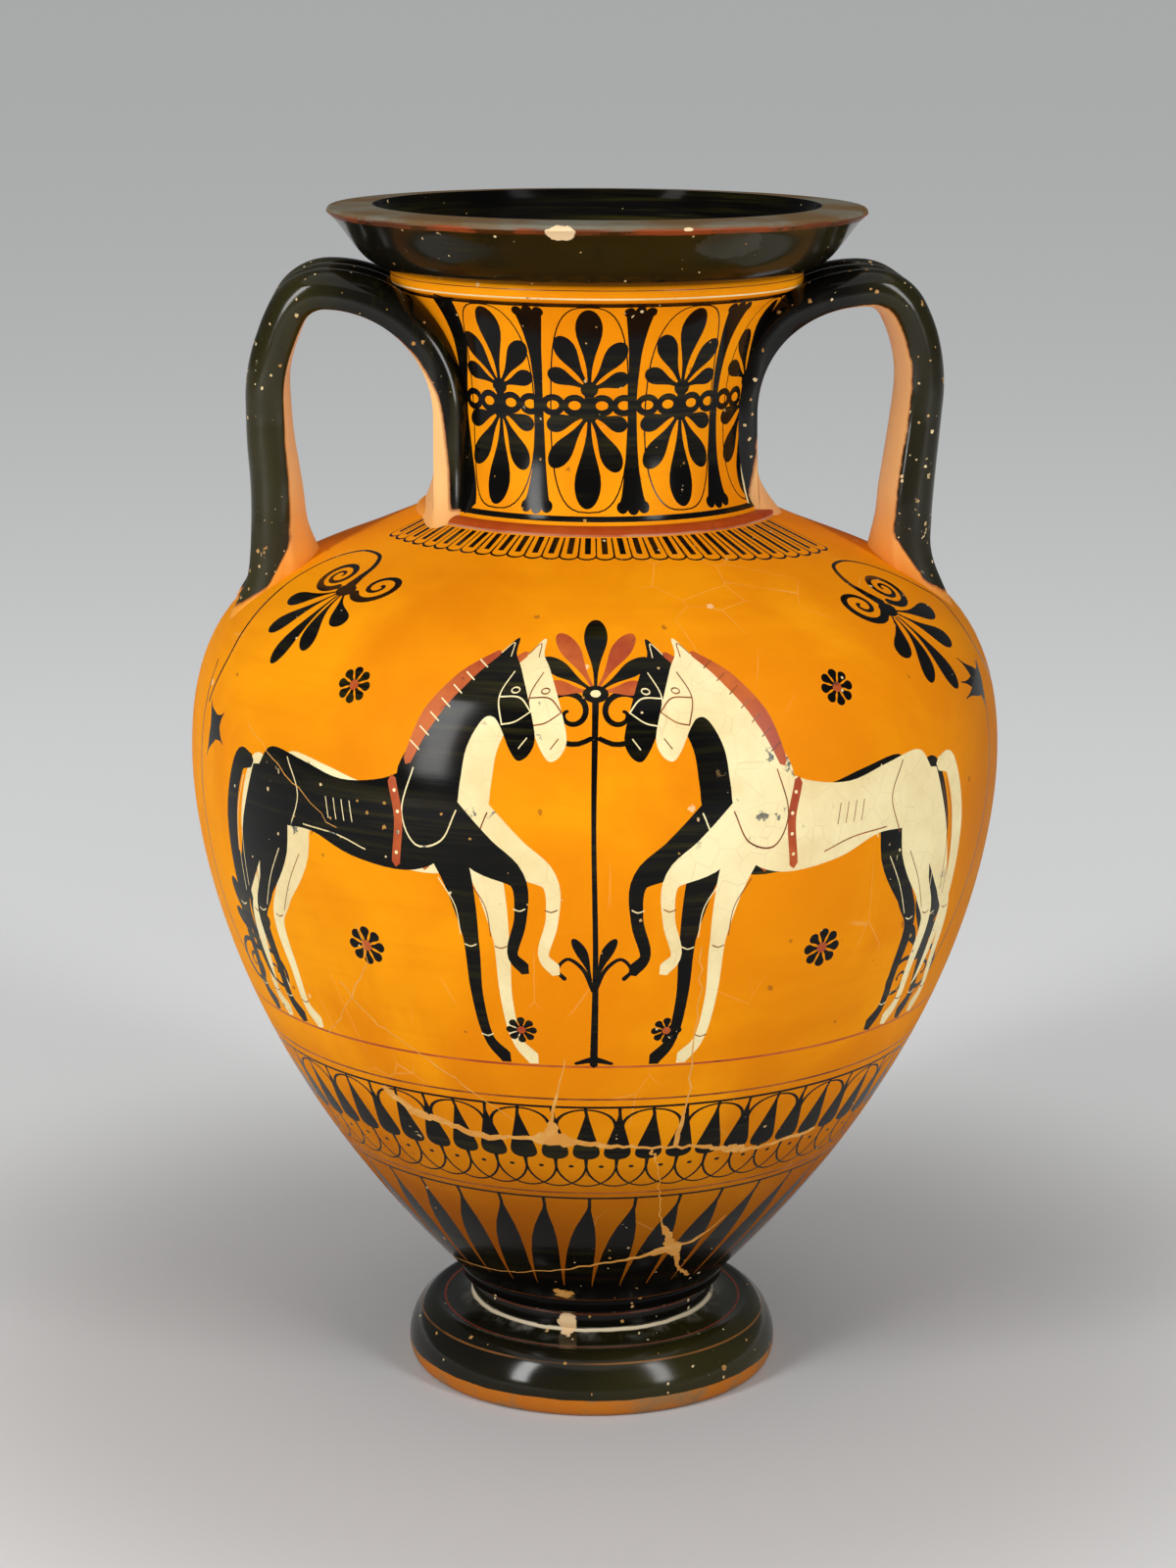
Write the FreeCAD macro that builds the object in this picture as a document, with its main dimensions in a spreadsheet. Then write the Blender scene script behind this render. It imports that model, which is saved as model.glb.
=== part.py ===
import FreeCAD
import Part
import Sketcher
import math
import os

# A neck amphora of fired clay, in millimetres. +Z is up, the handles lie along
# X, and the origin is the centre of the face that the foot rests on.

# Driving dimensions. A radius is measured from the vertical axis, and a height
# from the lower face of the piece that it belongs to.
SIZES = {
    # Foot: a rolled disc, hollow below, with a hub that the body is set on
    "foot_radius": 67.4,
    "foot_widest_height": 6.8,
    "foot_edge_inset": 3.8,
    "foot_rest_width": 13.6,
    "foot_roll_inset": 9.9,
    "foot_dish_rise": 2.1,
    "foot_height": 24.4,
    "hub_inset": 6.6,
    "hollow_slope": 24.0,
    "hollow_depth": 16.0,
    # Foot ring: a roll of clay round the joint between foot and body
    "foot_ring_radius": 43.6,
    "foot_ring_height": 6.1,
    # Body: thrown hollow, closed below, open where the neck is set on it
    "body_base_radius": 44.2,
    "body_roll_swell": 4.8,
    "body_roll_height": 6.5,
    "body_radius": 143.0,
    "belly_height": 199.5,
    "body_height": 284.0,
    "body_wall": 5.5,
    "body_floor": 8.0,
    "shoulder_edge": 3.5,
    # Collar: a roll of clay round the joint between body and neck
    "collar_width": 3.6,
    "collar_height": 3.1,
    # Neck, with a raised band below the mouth
    "neck_base_radius": 59.6,
    "neck_waist_radius": 54.2,
    "neck_waist_height": 30.5,
    "neck_top_radius": 68.4,
    "neck_height": 84.0,
    "neck_wall": 5.2,
    "band_height": 5.8,
    "band_swell": 2.6,
    # Mouth: a flaring bowl with a broad flat lip
    "mouth_radius": 93.4,
    "mouth_height": 22.1,
    "lip_width": 16.0,
    "lip_edge_height": 2.4,
    "lip_fall": 0.6,
    "lip_round": 1.4,
    # Handles: straps of three rolls of clay pressed together side by side
    "roll_radius": 8.5,
    "roll_overlap": 1.0,
    "strap_thickness": 13.2,
    "strap_inset": 4.0,
    "crown_drop": 4.8,
    "landing_inset": 29.4,
    "lean_angle": 2.6,
}

# Handles of the smooth curves. Each pair is a point's share of the way from
# the curve's start to its end, across and up.
FOOT_EDGE_SHARES = ((0.75, 0.0), (1.0, 0.55))
FOOT_ROLL_SHARES = ((0.0, 0.43), (0.5, 1.0))
FOOT_DISH_SHARES = ((0.33, -0.7), (0.76, -0.45))
RING_SHARES = ((2.0, 0.3), (2.0, 0.7))
BODY_ROLL_SHARES = ((0.7, 0.0), (1.0, 0.45))
BODY_LOWER_SHARES = ((0.92, 0.465), (1.0, 0.875))
BODY_UPPER_SHARES = ((0.0, 0.785), (0.527, 0.785))
BODY_FLOOR_SHARES = ((0.32, 0.9), (0.6, 1.0))
COLLAR_SHARES = ((0.0, 0.55), (0.45, 1.0))
NECK_LOWER_SHARES = ((0.63, 0.2), (1.0, 0.56))
NECK_UPPER_SHARES = ((0.0, 0.44), (0.3, 0.755))
BAND_SHARES = ((1.3, 0.03), (1.5, 0.65))
MOUTH_SHARES = ((0.545, 0.105), (0.636, 0.655))
LIP_EDGE_SHARES = ((0.0, 0.55), (0.45, 1.0))
MOUTH_INSIDE_SHARES = ((0.1, 0.35), (0.7, 0.7))

# The handle's path starts this share of the neck's wall below the shoulder,
# and ends this share of the way up from the belly to the shoulder
PATH_START_SHARE = 0.5
PATH_END_SHARE = 0.42

# Radii of the path's three bends, as shares of its reach from the neck out
NECK_BEND_SHARE = 0.678
CROWN_BEND_SHARE = 0.237
OUTER_BEND_SHARE = 0.946


def make_sheet(doc):
    """Put every driving dimension in a spreadsheet cell of its own."""
    sheet = doc.addObject("Spreadsheet::Sheet", "sizes")
    for row, (alias, value) in enumerate(SIZES.items(), start=1):
        sheet.set("A%d" % row, alias)
        sheet.set("B%d" % row, str(value))
        sheet.setAlias("B%d" % row, alias)
    doc.recompute()
    return sheet


UPRIGHT = FreeCAD.Vector(0, 0, 1)

# Heights of the joints above the ground, as formulas of the sheet's cells
GROUND = "0"
FOOT_TOP = "sizes.foot_height"
BODY_FOOT = "(sizes.foot_height + sizes.foot_ring_height)"
BODY_ROLL = "(%s + sizes.body_roll_height)" % BODY_FOOT
BELLY = "(%s + sizes.belly_height)" % BODY_FOOT
SHOULDER = "(%s + sizes.body_height)" % BODY_FOOT
COLLAR_TOP = "(%s + sizes.collar_height)" % SHOULDER
WAIST = "(%s + sizes.neck_waist_height)" % SHOULDER
NECK_TOP = "(%s + sizes.neck_height)" % SHOULDER
BAND_FOOT = "(%s - sizes.band_height)" % NECK_TOP
RIM = "(%s + sizes.mouth_height)" % NECK_TOP

# Radii that follow from two or three sizes
FOOT_REST = "(sizes.foot_radius - sizes.foot_edge_inset)"
FOOT_ROLL = "(sizes.foot_radius - sizes.foot_roll_inset)"
HOLLOW = "(%s - sizes.foot_rest_width)" % FOOT_REST
HUB = "(sizes.foot_ring_radius - sizes.hub_inset)"
BODY_INSIDE = "(sizes.body_radius - sizes.body_wall)"
COLLAR = "(sizes.neck_base_radius + sizes.collar_width)"
NECK_BORE = "(sizes.neck_base_radius - sizes.neck_wall)"
THROAT = "(sizes.neck_top_radius - sizes.neck_wall)"
MOUTH_BASE = "(sizes.neck_top_radius + sizes.band_swell)"
LIP_INSIDE = "(sizes.mouth_radius - sizes.lip_width)"

# The middle line of a handle's strap, from its rise along the neck to its fall
PATH_RISE = "(sizes.neck_waist_radius - sizes.strap_inset)"
PATH_FALL = "(sizes.body_radius - sizes.landing_inset)"
PATH_REACH = "(%s - %s)" % (PATH_FALL, PATH_RISE)
PATH_CROWN = "(%s - sizes.crown_drop)" % NECK_TOP
PATH_START = "(%s - %s * sizes.neck_wall)" % (SHOULDER, PATH_START_SHARE)
PATH_END = "(%s + %s * (sizes.body_height - sizes.belly_height))" % (BELLY, PATH_END_SHARE)
NECK_BEND = "(%s * %s)" % (NECK_BEND_SHARE, PATH_REACH)
CROWN_BEND = "(%s * %s)" % (CROWN_BEND_SHARE, PATH_REACH)
OUTER_BEND = "(%s * %s)" % (OUTER_BEND_SHARE, PATH_REACH)

# Across the strap: its inner face, and the middle line of its rolls
STRAP_BACK = "(%s + sizes.strap_thickness / 2)" % PATH_RISE
STRAP_ROLLS = "(%s - sizes.strap_thickness / 2 + sizes.roll_radius)" % PATH_RISE
ROLL_PITCH = "(2 * sizes.roll_radius - sizes.roll_overlap)"


def line(radius, height):
    return {"end": (radius, height), "shares": None}


def curve(radius, height, shares):
    return {"end": (radius, height), "shares": shares}


def turned_round(shares):
    """The same curve's shares when it is followed from its other end."""
    return tuple((1 - across, 1 - up) for across, up in reversed(shares))


# The outside of each piece, from its lower edge up

def body_outside():
    return [
        curve("sizes.body_base_radius + sizes.body_roll_swell", BODY_ROLL, BODY_ROLL_SHARES),
        curve("sizes.body_radius", BELLY, BODY_LOWER_SHARES),
        curve(COLLAR, SHOULDER, BODY_UPPER_SHARES),
    ]


def collar_outside():
    return [curve("sizes.neck_base_radius", COLLAR_TOP, COLLAR_SHARES)]


def neck_outside():
    return [
        curve("sizes.neck_waist_radius", WAIST, NECK_LOWER_SHARES),
        curve("sizes.neck_top_radius", BAND_FOOT, NECK_UPPER_SHARES),
        curve(MOUTH_BASE, NECK_TOP, BAND_SHARES),
    ]


def mouth_outside():
    return [
        curve("sizes.mouth_radius", "%s - sizes.lip_edge_height" % RIM, MOUTH_SHARES),
        curve("sizes.mouth_radius - sizes.lip_round", "%s - sizes.lip_fall" % RIM, LIP_EDGE_SHARES),
    ]


class Outline:
    """A sketch in one of a body's origin planes: lines, arcs and smooth curves
    whose points are held by formulas of the sheet's cells."""

    def __init__(self, body, sheet, name, plane="XZ_Plane"):
        self.sheet = sheet
        self.sketch = body.newObject("Sketcher::SketchObject", name)
        self.sketch.AttachmentSupport = [(origin_plane(body, plane), "")]
        self.sketch.MapMode = "FlatFace"

    def value(self, formula):
        return float(self.sheet.evalExpression(formula.replace("sizes.", "")))

    def constrain(self, *words):
        return self.sketch.addConstraint(Sketcher.Constraint(*words))

    def size(self, formula, *words):
        """Add a constraint whose value is a formula of the sheet's cells."""
        number = self.constrain(*words, self.value(formula))
        self.sketch.setExpression("Constraints[%d]" % number, formula)

    def hold(self, geometry, point, formulas):
        """Keep one point at its radius and height above the origin."""
        for kind, axis, formula in (("DistanceX", -2, formulas[0]), ("DistanceY", -1, formulas[1])):
            if self.value(formula) == 0:
                self.constrain("PointOnObject", geometry, point, axis)
            else:
                self.size(formula, kind, -1, 1, geometry, point)

    def vector(self, formulas):
        return FreeCAD.Vector(self.value(formulas[0]), self.value(formulas[1]), 0)

    def draw(self, start, steps):
        """Draw the steps one after another and close the outline."""
        here = start
        first = previous = None
        closing = [] if steps[-1]["end"] == start else [line(*start)]
        for step in steps + closing:
            there = step["end"]
            if step["shares"] is None:
                added = self.sketch.addGeometry(
                    Part.LineSegment(self.vector(here), self.vector(there)), False)
            else:
                added = self.add_curve(here, there, step["shares"])
            if previous is None:
                first = added
                self.hold(added, 1, start)
            else:
                self.constrain("Coincident", previous, 2, added, 1)
            if there == start:
                self.constrain("Coincident", added, 2, first, 1)
            else:
                self.hold(added, 2, there)
            here = there
            previous = added

    def add_curve(self, here, there, shares):
        """Add a smooth curve whose two handles are shares of its span."""
        handles = []
        for share_pair in shares:
            handles.append(tuple("(%s) + %s * ((%s) - (%s))" % (a, share, b, a)
                                 for a, b, share in zip(here, there, share_pair)))
        poles = [here] + handles + [there]
        shape = Part.BezierCurve()
        shape.setPoles([self.vector(pole) for pole in poles])
        added = self.sketch.addGeometry(shape.toBSpline(), False)
        self.sketch.exposeInternalGeometry(added)
        for pole_circle, formulas in zip(range(added + 2, added + 4), handles):
            self.hold(pole_circle, 3, formulas)
        return added


def origin_plane(body, role):
    return [item for item in body.Origin.OriginFeatures if item.Role == role][0]


def turned_piece(doc, sheet, label, start, steps):
    """A piece thrown on the wheel: its outline turned about the axis."""
    body = doc.addObject("PartDesign::Body", label)
    body.Label = label
    outline = Outline(body, sheet, label + "_outline")
    outline.draw(start, steps)
    turn = body.newObject("PartDesign::Revolution", label + "_turned")
    turn.Profile = outline.sketch
    turn.ReferenceAxis = (outline.sketch, ["V_Axis"])
    turn.Angle = 360
    return body


def make_foot(doc, sheet):
    return turned_piece(doc, sheet, "foot", (HOLLOW, GROUND), [
        line(FOOT_REST, GROUND),
        curve("sizes.foot_radius", "sizes.foot_widest_height", FOOT_EDGE_SHARES),
        curve(FOOT_ROLL, "sizes.foot_height - sizes.foot_dish_rise", FOOT_ROLL_SHARES),
        curve("sizes.foot_ring_radius", FOOT_TOP, FOOT_DISH_SHARES),
        line(HUB, FOOT_TOP),
        line(HUB, BODY_FOOT),
        line("0", BODY_FOOT),
        line("0", "sizes.hollow_depth"),
        line("%s - sizes.hollow_slope" % HOLLOW, "sizes.hollow_depth"),
    ])


def make_foot_ring(doc, sheet):
    return turned_piece(doc, sheet, "foot_ring", (HUB, FOOT_TOP), [
        line("sizes.foot_ring_radius", FOOT_TOP),
        curve("sizes.body_base_radius", BODY_FOOT, RING_SHARES),
        line(HUB, BODY_FOOT),
    ])


def make_body(doc, sheet):
    inside_base = "%s + sizes.body_wall" % BODY_ROLL
    return turned_piece(doc, sheet, "body", ("0", BODY_FOOT), [
        line("sizes.body_base_radius", BODY_FOOT)] + body_outside() + [
        line(NECK_BORE, SHOULDER),
        line(NECK_BORE, "%s - sizes.shoulder_edge" % SHOULDER),
        curve(BODY_INSIDE, BELLY, turned_round(BODY_UPPER_SHARES)),
        curve("sizes.body_base_radius", inside_base, turned_round(BODY_LOWER_SHARES)),
        curve("0", "%s + sizes.body_floor" % BODY_FOOT, BODY_FLOOR_SHARES),
    ])


def make_collar(doc, sheet):
    return turned_piece(doc, sheet, "collar", ("sizes.neck_base_radius", SHOULDER), [
        line(COLLAR, SHOULDER)] + collar_outside())


def make_neck(doc, sheet):
    return turned_piece(doc, sheet, "neck", (NECK_BORE, SHOULDER), [
        line("sizes.neck_base_radius", SHOULDER),
        line("sizes.neck_base_radius", COLLAR_TOP)] + neck_outside() + [
        line(THROAT, NECK_TOP),
        curve("sizes.neck_waist_radius - sizes.neck_wall", WAIST, turned_round(NECK_UPPER_SHARES)),
        curve(NECK_BORE, SHOULDER, turned_round(NECK_LOWER_SHARES)),
    ])


def make_mouth(doc, sheet):
    return turned_piece(doc, sheet, "mouth", (THROAT, NECK_TOP), [
        line(MOUTH_BASE, NECK_TOP)] + mouth_outside() + [
        line(LIP_INSIDE, RIM),
        curve(THROAT, NECK_TOP, MOUTH_INSIDE_SHARES),
    ])


def make_core(doc, sheet):
    """The whole vessel's outside, filled: it trims the handles to their seats."""
    return turned_piece(doc, sheet, "core", ("0", BODY_FOOT), [
        line("sizes.body_base_radius", BODY_FOOT)] + body_outside() + collar_outside()
        + neck_outside() + mouth_outside() + [
        line(LIP_INSIDE, RIM),
        line("0", RIM),
    ])


def spot(centre, radius, angle):
    return FreeCAD.Vector(centre.x + radius * math.cos(angle), centre.y + radius * math.sin(angle), 0)


def draw_path(outline):
    """The middle line of a strap: up along the neck, over the crown and down
    onto the shoulder, as tangent lines and arcs."""
    sketch = outline.sketch
    rise_x, fall_x, crown, start, end = map(
        outline.value, (PATH_RISE, PATH_FALL, PATH_CROWN, PATH_START, PATH_END))
    neck_bend, crown_bend, outer_bend = map(outline.value, (NECK_BEND, CROWN_BEND, OUTER_BEND))
    lean = math.radians(outline.value("sizes.lean_angle"))

    neck_centre = FreeCAD.Vector(rise_x + neck_bend, crown - neck_bend, 0)
    crown_centre = FreeCAD.Vector(neck_centre.x, crown - crown_bend, 0)
    across = fall_x - outer_bend - crown_centre.x
    down = math.sqrt((outer_bend - crown_bend) ** 2 - across ** 2)
    outer_centre = FreeCAD.Vector(fall_x - outer_bend, crown_centre.y - down, 0)
    meeting = math.atan2(down, -across)
    low = spot(outer_centre, outer_bend, -lean)
    low_end = FreeCAD.Vector(low.x - (low.y - end) * math.tan(lean), end, 0)

    rise = sketch.addGeometry(Part.LineSegment(
        FreeCAD.Vector(rise_x, start, 0), FreeCAD.Vector(rise_x, neck_centre.y, 0)), False)
    arcs = []
    for centre, radius, low_angle, high_angle in (
            (neck_centre, neck_bend, math.pi / 2, math.pi),
            (crown_centre, crown_bend, meeting, math.pi / 2),
            (outer_centre, outer_bend, -lean, meeting)):
        arcs.append(sketch.addGeometry(
            Part.ArcOfCircle(Part.Circle(centre, UPRIGHT, radius), low_angle, high_angle), False))
    fall = sketch.addGeometry(Part.LineSegment(low, low_end), False)

    outline.constrain("Vertical", rise)
    outline.constrain("Tangent", rise, 2, arcs[0], 2)
    outline.constrain("Tangent", arcs[0], 1, arcs[1], 2)
    outline.constrain("Tangent", arcs[1], 1, arcs[2], 2)
    outline.constrain("Tangent", arcs[2], 1, fall, 1)
    outline.constrain("Vertical", arcs[0], 3, arcs[0], 1)
    outline.size(NECK_BEND, "Radius", arcs[0])
    outline.size(CROWN_BEND, "Radius", arcs[1])
    outline.size(OUTER_BEND, "Radius", arcs[2])
    outline.size(PATH_RISE, "DistanceX", -1, 1, rise, 1)
    outline.size(PATH_START, "DistanceY", -1, 1, rise, 1)
    outline.size(PATH_CROWN, "DistanceY", -1, 1, arcs[0], 1)
    outline.size("%s - %s" % (PATH_FALL, OUTER_BEND), "DistanceX", -1, 1, arcs[2], 3)
    outline.size(PATH_END, "DistanceY", -1, 1, fall, 2)
    leaning = outline.constrain("Angle", fall, 2, -2, 1, -lean)
    sketch.setExpression("Constraints[%d]" % leaning, "-sizes.lean_angle * 1 deg")


def draw_section(outline):
    """Across the strap: three round rolls outside, flat on the inside."""
    sketch = outline.sketch
    sketch.setExpression("AttachmentOffset.Base.z", PATH_START)
    pitch, radius, rolls_x, back_x = map(
        outline.value, (ROLL_PITCH, "sizes.roll_radius", STRAP_ROLLS, STRAP_BACK))
    valley = math.sqrt(radius ** 2 - (pitch / 2) ** 2)
    edge = math.sqrt(radius ** 2 - (back_x - rolls_x) ** 2)
    valley_angle = math.atan2(pitch / 2, -valley)
    edge_angle = math.atan2(edge, back_x - rolls_x)
    full_turn = 2 * math.pi

    arcs = []
    for side, low_angle, high_angle in (
            (-1, valley_angle, full_turn - edge_angle),
            (0, valley_angle, full_turn - valley_angle),
            (1, edge_angle, full_turn - valley_angle)):
        centre = FreeCAD.Vector(rolls_x, side * pitch, 0)
        arcs.append(sketch.addGeometry(
            Part.ArcOfCircle(Part.Circle(centre, UPRIGHT, radius), low_angle, high_angle), False))
    back = sketch.addGeometry(Part.LineSegment(
        FreeCAD.Vector(back_x, -pitch - edge, 0), FreeCAD.Vector(back_x, pitch + edge, 0)), False)

    outline.constrain("Coincident", arcs[0], 1, arcs[1], 2)
    outline.constrain("Coincident", arcs[1], 1, arcs[2], 2)
    outline.constrain("Coincident", arcs[2], 1, back, 2)
    outline.constrain("Coincident", back, 1, arcs[0], 2)
    outline.constrain("Vertical", back)
    outline.constrain("Equal", arcs[0], arcs[1])
    outline.constrain("Equal", arcs[1], arcs[2])
    outline.constrain("PointOnObject", arcs[1], 3, -1)
    outline.constrain("Vertical", arcs[0], 3, arcs[1], 3)
    outline.constrain("Vertical", arcs[1], 3, arcs[2], 3)
    outline.size("sizes.roll_radius", "Radius", arcs[0])
    outline.size(ROLL_PITCH, "DistanceY", arcs[0], 3, arcs[1], 3)
    outline.size(ROLL_PITCH, "DistanceY", arcs[1], 3, arcs[2], 3)
    outline.size(STRAP_ROLLS, "DistanceX", -1, 1, arcs[1], 3)
    outline.size(STRAP_BACK, "DistanceX", -1, 1, back, 1)


def make_handle(doc, sheet, label, side_angle, core):
    """A strap swept along its path and trimmed to the vessel's outside."""
    strap = doc.addObject("PartDesign::Body", label + "_strap")
    strap.Label = label + "_strap"
    path = Outline(strap, sheet, label + "_path")
    draw_path(path)
    section = Outline(strap, sheet, label + "_section", "XY_Plane")
    draw_section(section)
    doc.recompute()
    sweep = strap.newObject("PartDesign::AdditivePipe", label + "_sweep")
    sweep.Profile = section.sketch
    sweep.Spine = (path.sketch, ["Edge%d" % number for number in range(1, 6)])
    strap.Placement = FreeCAD.Placement(FreeCAD.Vector(), FreeCAD.Rotation(UPRIGHT, side_angle))
    handle = doc.addObject("Part::Cut", label)
    handle.Label = label
    handle.Base = strap
    handle.Tool = core
    return handle


def check(doc, nodes):
    """Stop if any object failed, or any piece is empty, broken or in bits."""
    for item in doc.Objects:
        if "Invalid" in item.State or "Error" in item.State:
            raise RuntimeError("%s is not right: %s" % (item.Label, item.State))
    for node in nodes:
        shape = node.Shape
        if shape.isNull() or not shape.isValid() or len(shape.Solids) != 1:
            raise RuntimeError("%s has no single valid solid" % node.Label)
        print("%-13s volume %10.0f  box %s" % (node.Label, shape.Volume, shape.BoundBox))


def main():
    doc = FreeCAD.newDocument("neck_amphora")
    sheet = make_sheet(doc)
    core = make_core(doc, sheet)
    nodes = [
        make_foot(doc, sheet),
        make_foot_ring(doc, sheet),
        make_body(doc, sheet),
        make_collar(doc, sheet),
        make_neck(doc, sheet),
        make_mouth(doc, sheet),
        make_handle(doc, sheet, "handle_right", 0, core),
        make_handle(doc, sheet, "handle_left", 180, core),
    ]
    doc.recompute()
    check(doc, nodes)
    os.makedirs("parts", exist_ok=True)
    for node in nodes:
        node.Shape.exportStep("parts/%s.step" % node.Label)


main()
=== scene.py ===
import math
import random

import bmesh
import bpy
import numpy as np
from bpy.props import FloatProperty, FloatVectorProperty, IntProperty, PointerProperty
from mathutils import Matrix, Vector
from mathutils.geometry import delaunay_2d_cdt


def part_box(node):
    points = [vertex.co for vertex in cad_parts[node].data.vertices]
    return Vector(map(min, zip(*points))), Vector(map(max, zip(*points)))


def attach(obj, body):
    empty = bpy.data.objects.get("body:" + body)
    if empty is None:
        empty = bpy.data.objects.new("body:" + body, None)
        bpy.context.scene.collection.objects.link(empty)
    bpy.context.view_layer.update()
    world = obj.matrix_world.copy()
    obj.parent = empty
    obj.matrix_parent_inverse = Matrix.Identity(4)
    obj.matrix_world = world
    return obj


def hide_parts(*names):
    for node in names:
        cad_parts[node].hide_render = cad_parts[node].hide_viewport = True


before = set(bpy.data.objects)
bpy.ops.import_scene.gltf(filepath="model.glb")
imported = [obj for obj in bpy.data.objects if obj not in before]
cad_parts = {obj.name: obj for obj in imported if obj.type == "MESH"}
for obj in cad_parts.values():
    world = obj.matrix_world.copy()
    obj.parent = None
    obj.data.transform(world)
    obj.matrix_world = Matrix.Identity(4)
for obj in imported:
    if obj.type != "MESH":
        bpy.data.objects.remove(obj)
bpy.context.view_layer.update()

bl_info = {
    "name": "Neck amphora",
    "version": (1, 0, 0),
    "blender": (4, 5, 0),
    "location": "3D View > Sidebar > Amphora",
    "description": "A neck amphora of fired clay with painted ornament, one operator for each piece",
    "category": "Object",
}

MM = 0.001
FULL_TURN = 2 * math.pi

# The vase is seen turned a little, so an angle read from the front view is
# that much more than the angle on the vase
VIEW_TURN = 2.2


def node_size(node):
    """Widest radius, lowest height and highest height of a node, in millimetres."""
    low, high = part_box(node)
    return high.x / MM, low.z / MM, high.z / MM


FOOT_RADIUS, GROUND, HUB_TOP = node_size("foot")
_, FOOT_TOP, BODY_FOOT = node_size("foot_ring")
BODY_RADIUS, _, SHOULDER = node_size("body")
COLLAR_RADIUS, _, COLLAR_TOP = node_size("collar")
_, _, NECK_TOP = node_size("neck")
MOUTH_RADIUS, _, RIM = node_size("mouth")


def length(name, description, millimetres):
    return FloatProperty(name=name, description=description, default=millimetres * MM, unit="LENGTH", precision=4)


def turn(name, description, degrees):
    return FloatProperty(name=name, description=description, default=math.radians(degrees), subtype="ANGLE")


def colour(name, description, red, green, blue):
    return FloatVectorProperty(name=name, description=description, default=(red, green, blue),
                               subtype="COLOR", size=3, min=0, max=1)


class ClayColours(bpy.types.PropertyGroup):
    clay: colour("Clay", "Burnished clay where it is lightest", 0.84, 0.3, 0.003)
    clay_deep: colour("Deep clay", "Burnished clay where it is darkest", 0.71, 0.21, 0.002)
    # Painted shade: this colour darkens the clay low on the body, and it is also the dark clay inside
    clay_low: colour("Low clay", "Browner clay low on the body", 0.2, 0.045, 0.002)
    slip: colour("Black slip", "Glossy black slip", 0.0028, 0.0026, 0.0024)
    slip_tinge: colour("Slip tinge", "Black slip where it is brushed thin", 0.03, 0.0255, 0.004)
    cream: colour("Cream", "Cream slip laid over the black", 0.84, 0.72, 0.4)
    red: colour("Dark red", "Dark red slip laid over the black", 0.33, 0.042, 0.009)
    thin_slip: colour("Thin slip", "Brown lines of thinned slip", 0.13, 0.028, 0.005)
    fill: colour("Fill", "Tinted plaster in the mended cracks", 0.64, 0.27, 0.042)
    # The rim colour is worn slip lightened as a painted reflection of the light from above on the lip's top
    rim: colour("Rim", "Worn slip on the top of the lip", 0.16, 0.145, 0.105)


class FootSizes(bpy.types.PropertyGroup):
    edge_inset: length("Edge inset", "From the widest radius in to the resting ring", 3.8)
    widest: length("Widest height", "Height where the foot is widest", 6.8)
    roll_inset: length("Roll inset", "From the widest radius in to the top of the roll", 9.9)
    dish_rise: length("Dish rise", "From the top of the roll up to the joint", 2.1)
    rest_width: length("Rest width", "Width of the ring that the foot rests on", 13.6)
    hollow_slope: length("Hollow slope", "Width of the hollow's sloping side", 24)
    hollow_depth: length("Hollow depth", "Depth of the hollow below", 16)
    joint_radius: length("Joint radius", "Radius of the foot ring where it meets the foot", 43.6)
    hub_inset: length("Hub inset", "From the foot ring's radius in to the hub", 6.6)


class BodySizes(bpy.types.PropertyGroup):
    base_radius: length("Base radius", "Radius where the body meets the foot ring", 44.2)
    roll_swell: length("Roll swell", "How far the lowest roll swells out", 4.8)
    roll_height: length("Roll height", "Height of the lowest roll", 6.5)
    belly: length("Belly height", "Height above the ground where the body is widest", 230)
    wall: length("Wall", "Thickness of the wall", 5.5)
    floor: length("Floor", "Thickness of the floor", 8)
    shoulder_edge: length("Shoulder edge", "Thickness where the neck is set on", 3.5)
    rays: IntProperty(name="Rays", description="Rays round the base", default=37, min=3)
    buds: IntProperty(name="Buds", description="Buds in the chain, an even number", default=64, min=4)
    tongue_step: turn("Tongue step", "Angle from one tongue to the next", 4.7)


class NeckSizes(bpy.types.PropertyGroup):
    base_radius: length("Base radius", "Radius at the collar", 59.6)
    waist_radius: length("Waist radius", "Smallest radius", 54.2)
    waist: length("Waist height", "Height above the ground of the waist", 345)
    top_radius: length("Top radius", "Radius under the raised band", 68.4)
    band_height: length("Band height", "Height of the raised band", 5.8)
    band_swell: length("Band swell", "How far the mouth starts outside the neck's top", 2.6)
    wall: length("Wall", "Thickness of the wall", 5.2)
    palmette_step: turn("Palmette step", "Angle from one palmette to the next", 33.6)


class MouthSizes(bpy.types.PropertyGroup):
    lip_width: length("Lip width", "Width of the flat lip", 16)
    lip_edge: length("Lip edge", "Height of the lip's rounded edge", 2.4)
    lip_fall: length("Lip fall", "How far the lip slopes down to its edge", 0.6)
    lip_round: length("Lip round", "Width of the lip's rounded edge", 1.4)


class HandleSizes(bpy.types.PropertyGroup):
    rise_inset: length("Rise inset", "From the neck's waist in to the strap's middle line", 4)
    landing_inset: length("Landing inset", "From the widest body in to the strap's middle line", 29.4)
    crown_drop: length("Crown drop", "From the neck's top down to the middle line's highest point", 4.8)
    roll_radius: length("Roll radius", "Radius of each roll of clay", 8.5)
    roll_pitch: length("Roll pitch", "From one roll's middle to the next", 16)
    thickness: length("Thickness", "Thickness of the strap", 13.2)
    lean: turn("Lean", "Lean of the outer leg", 2.6)


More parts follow.
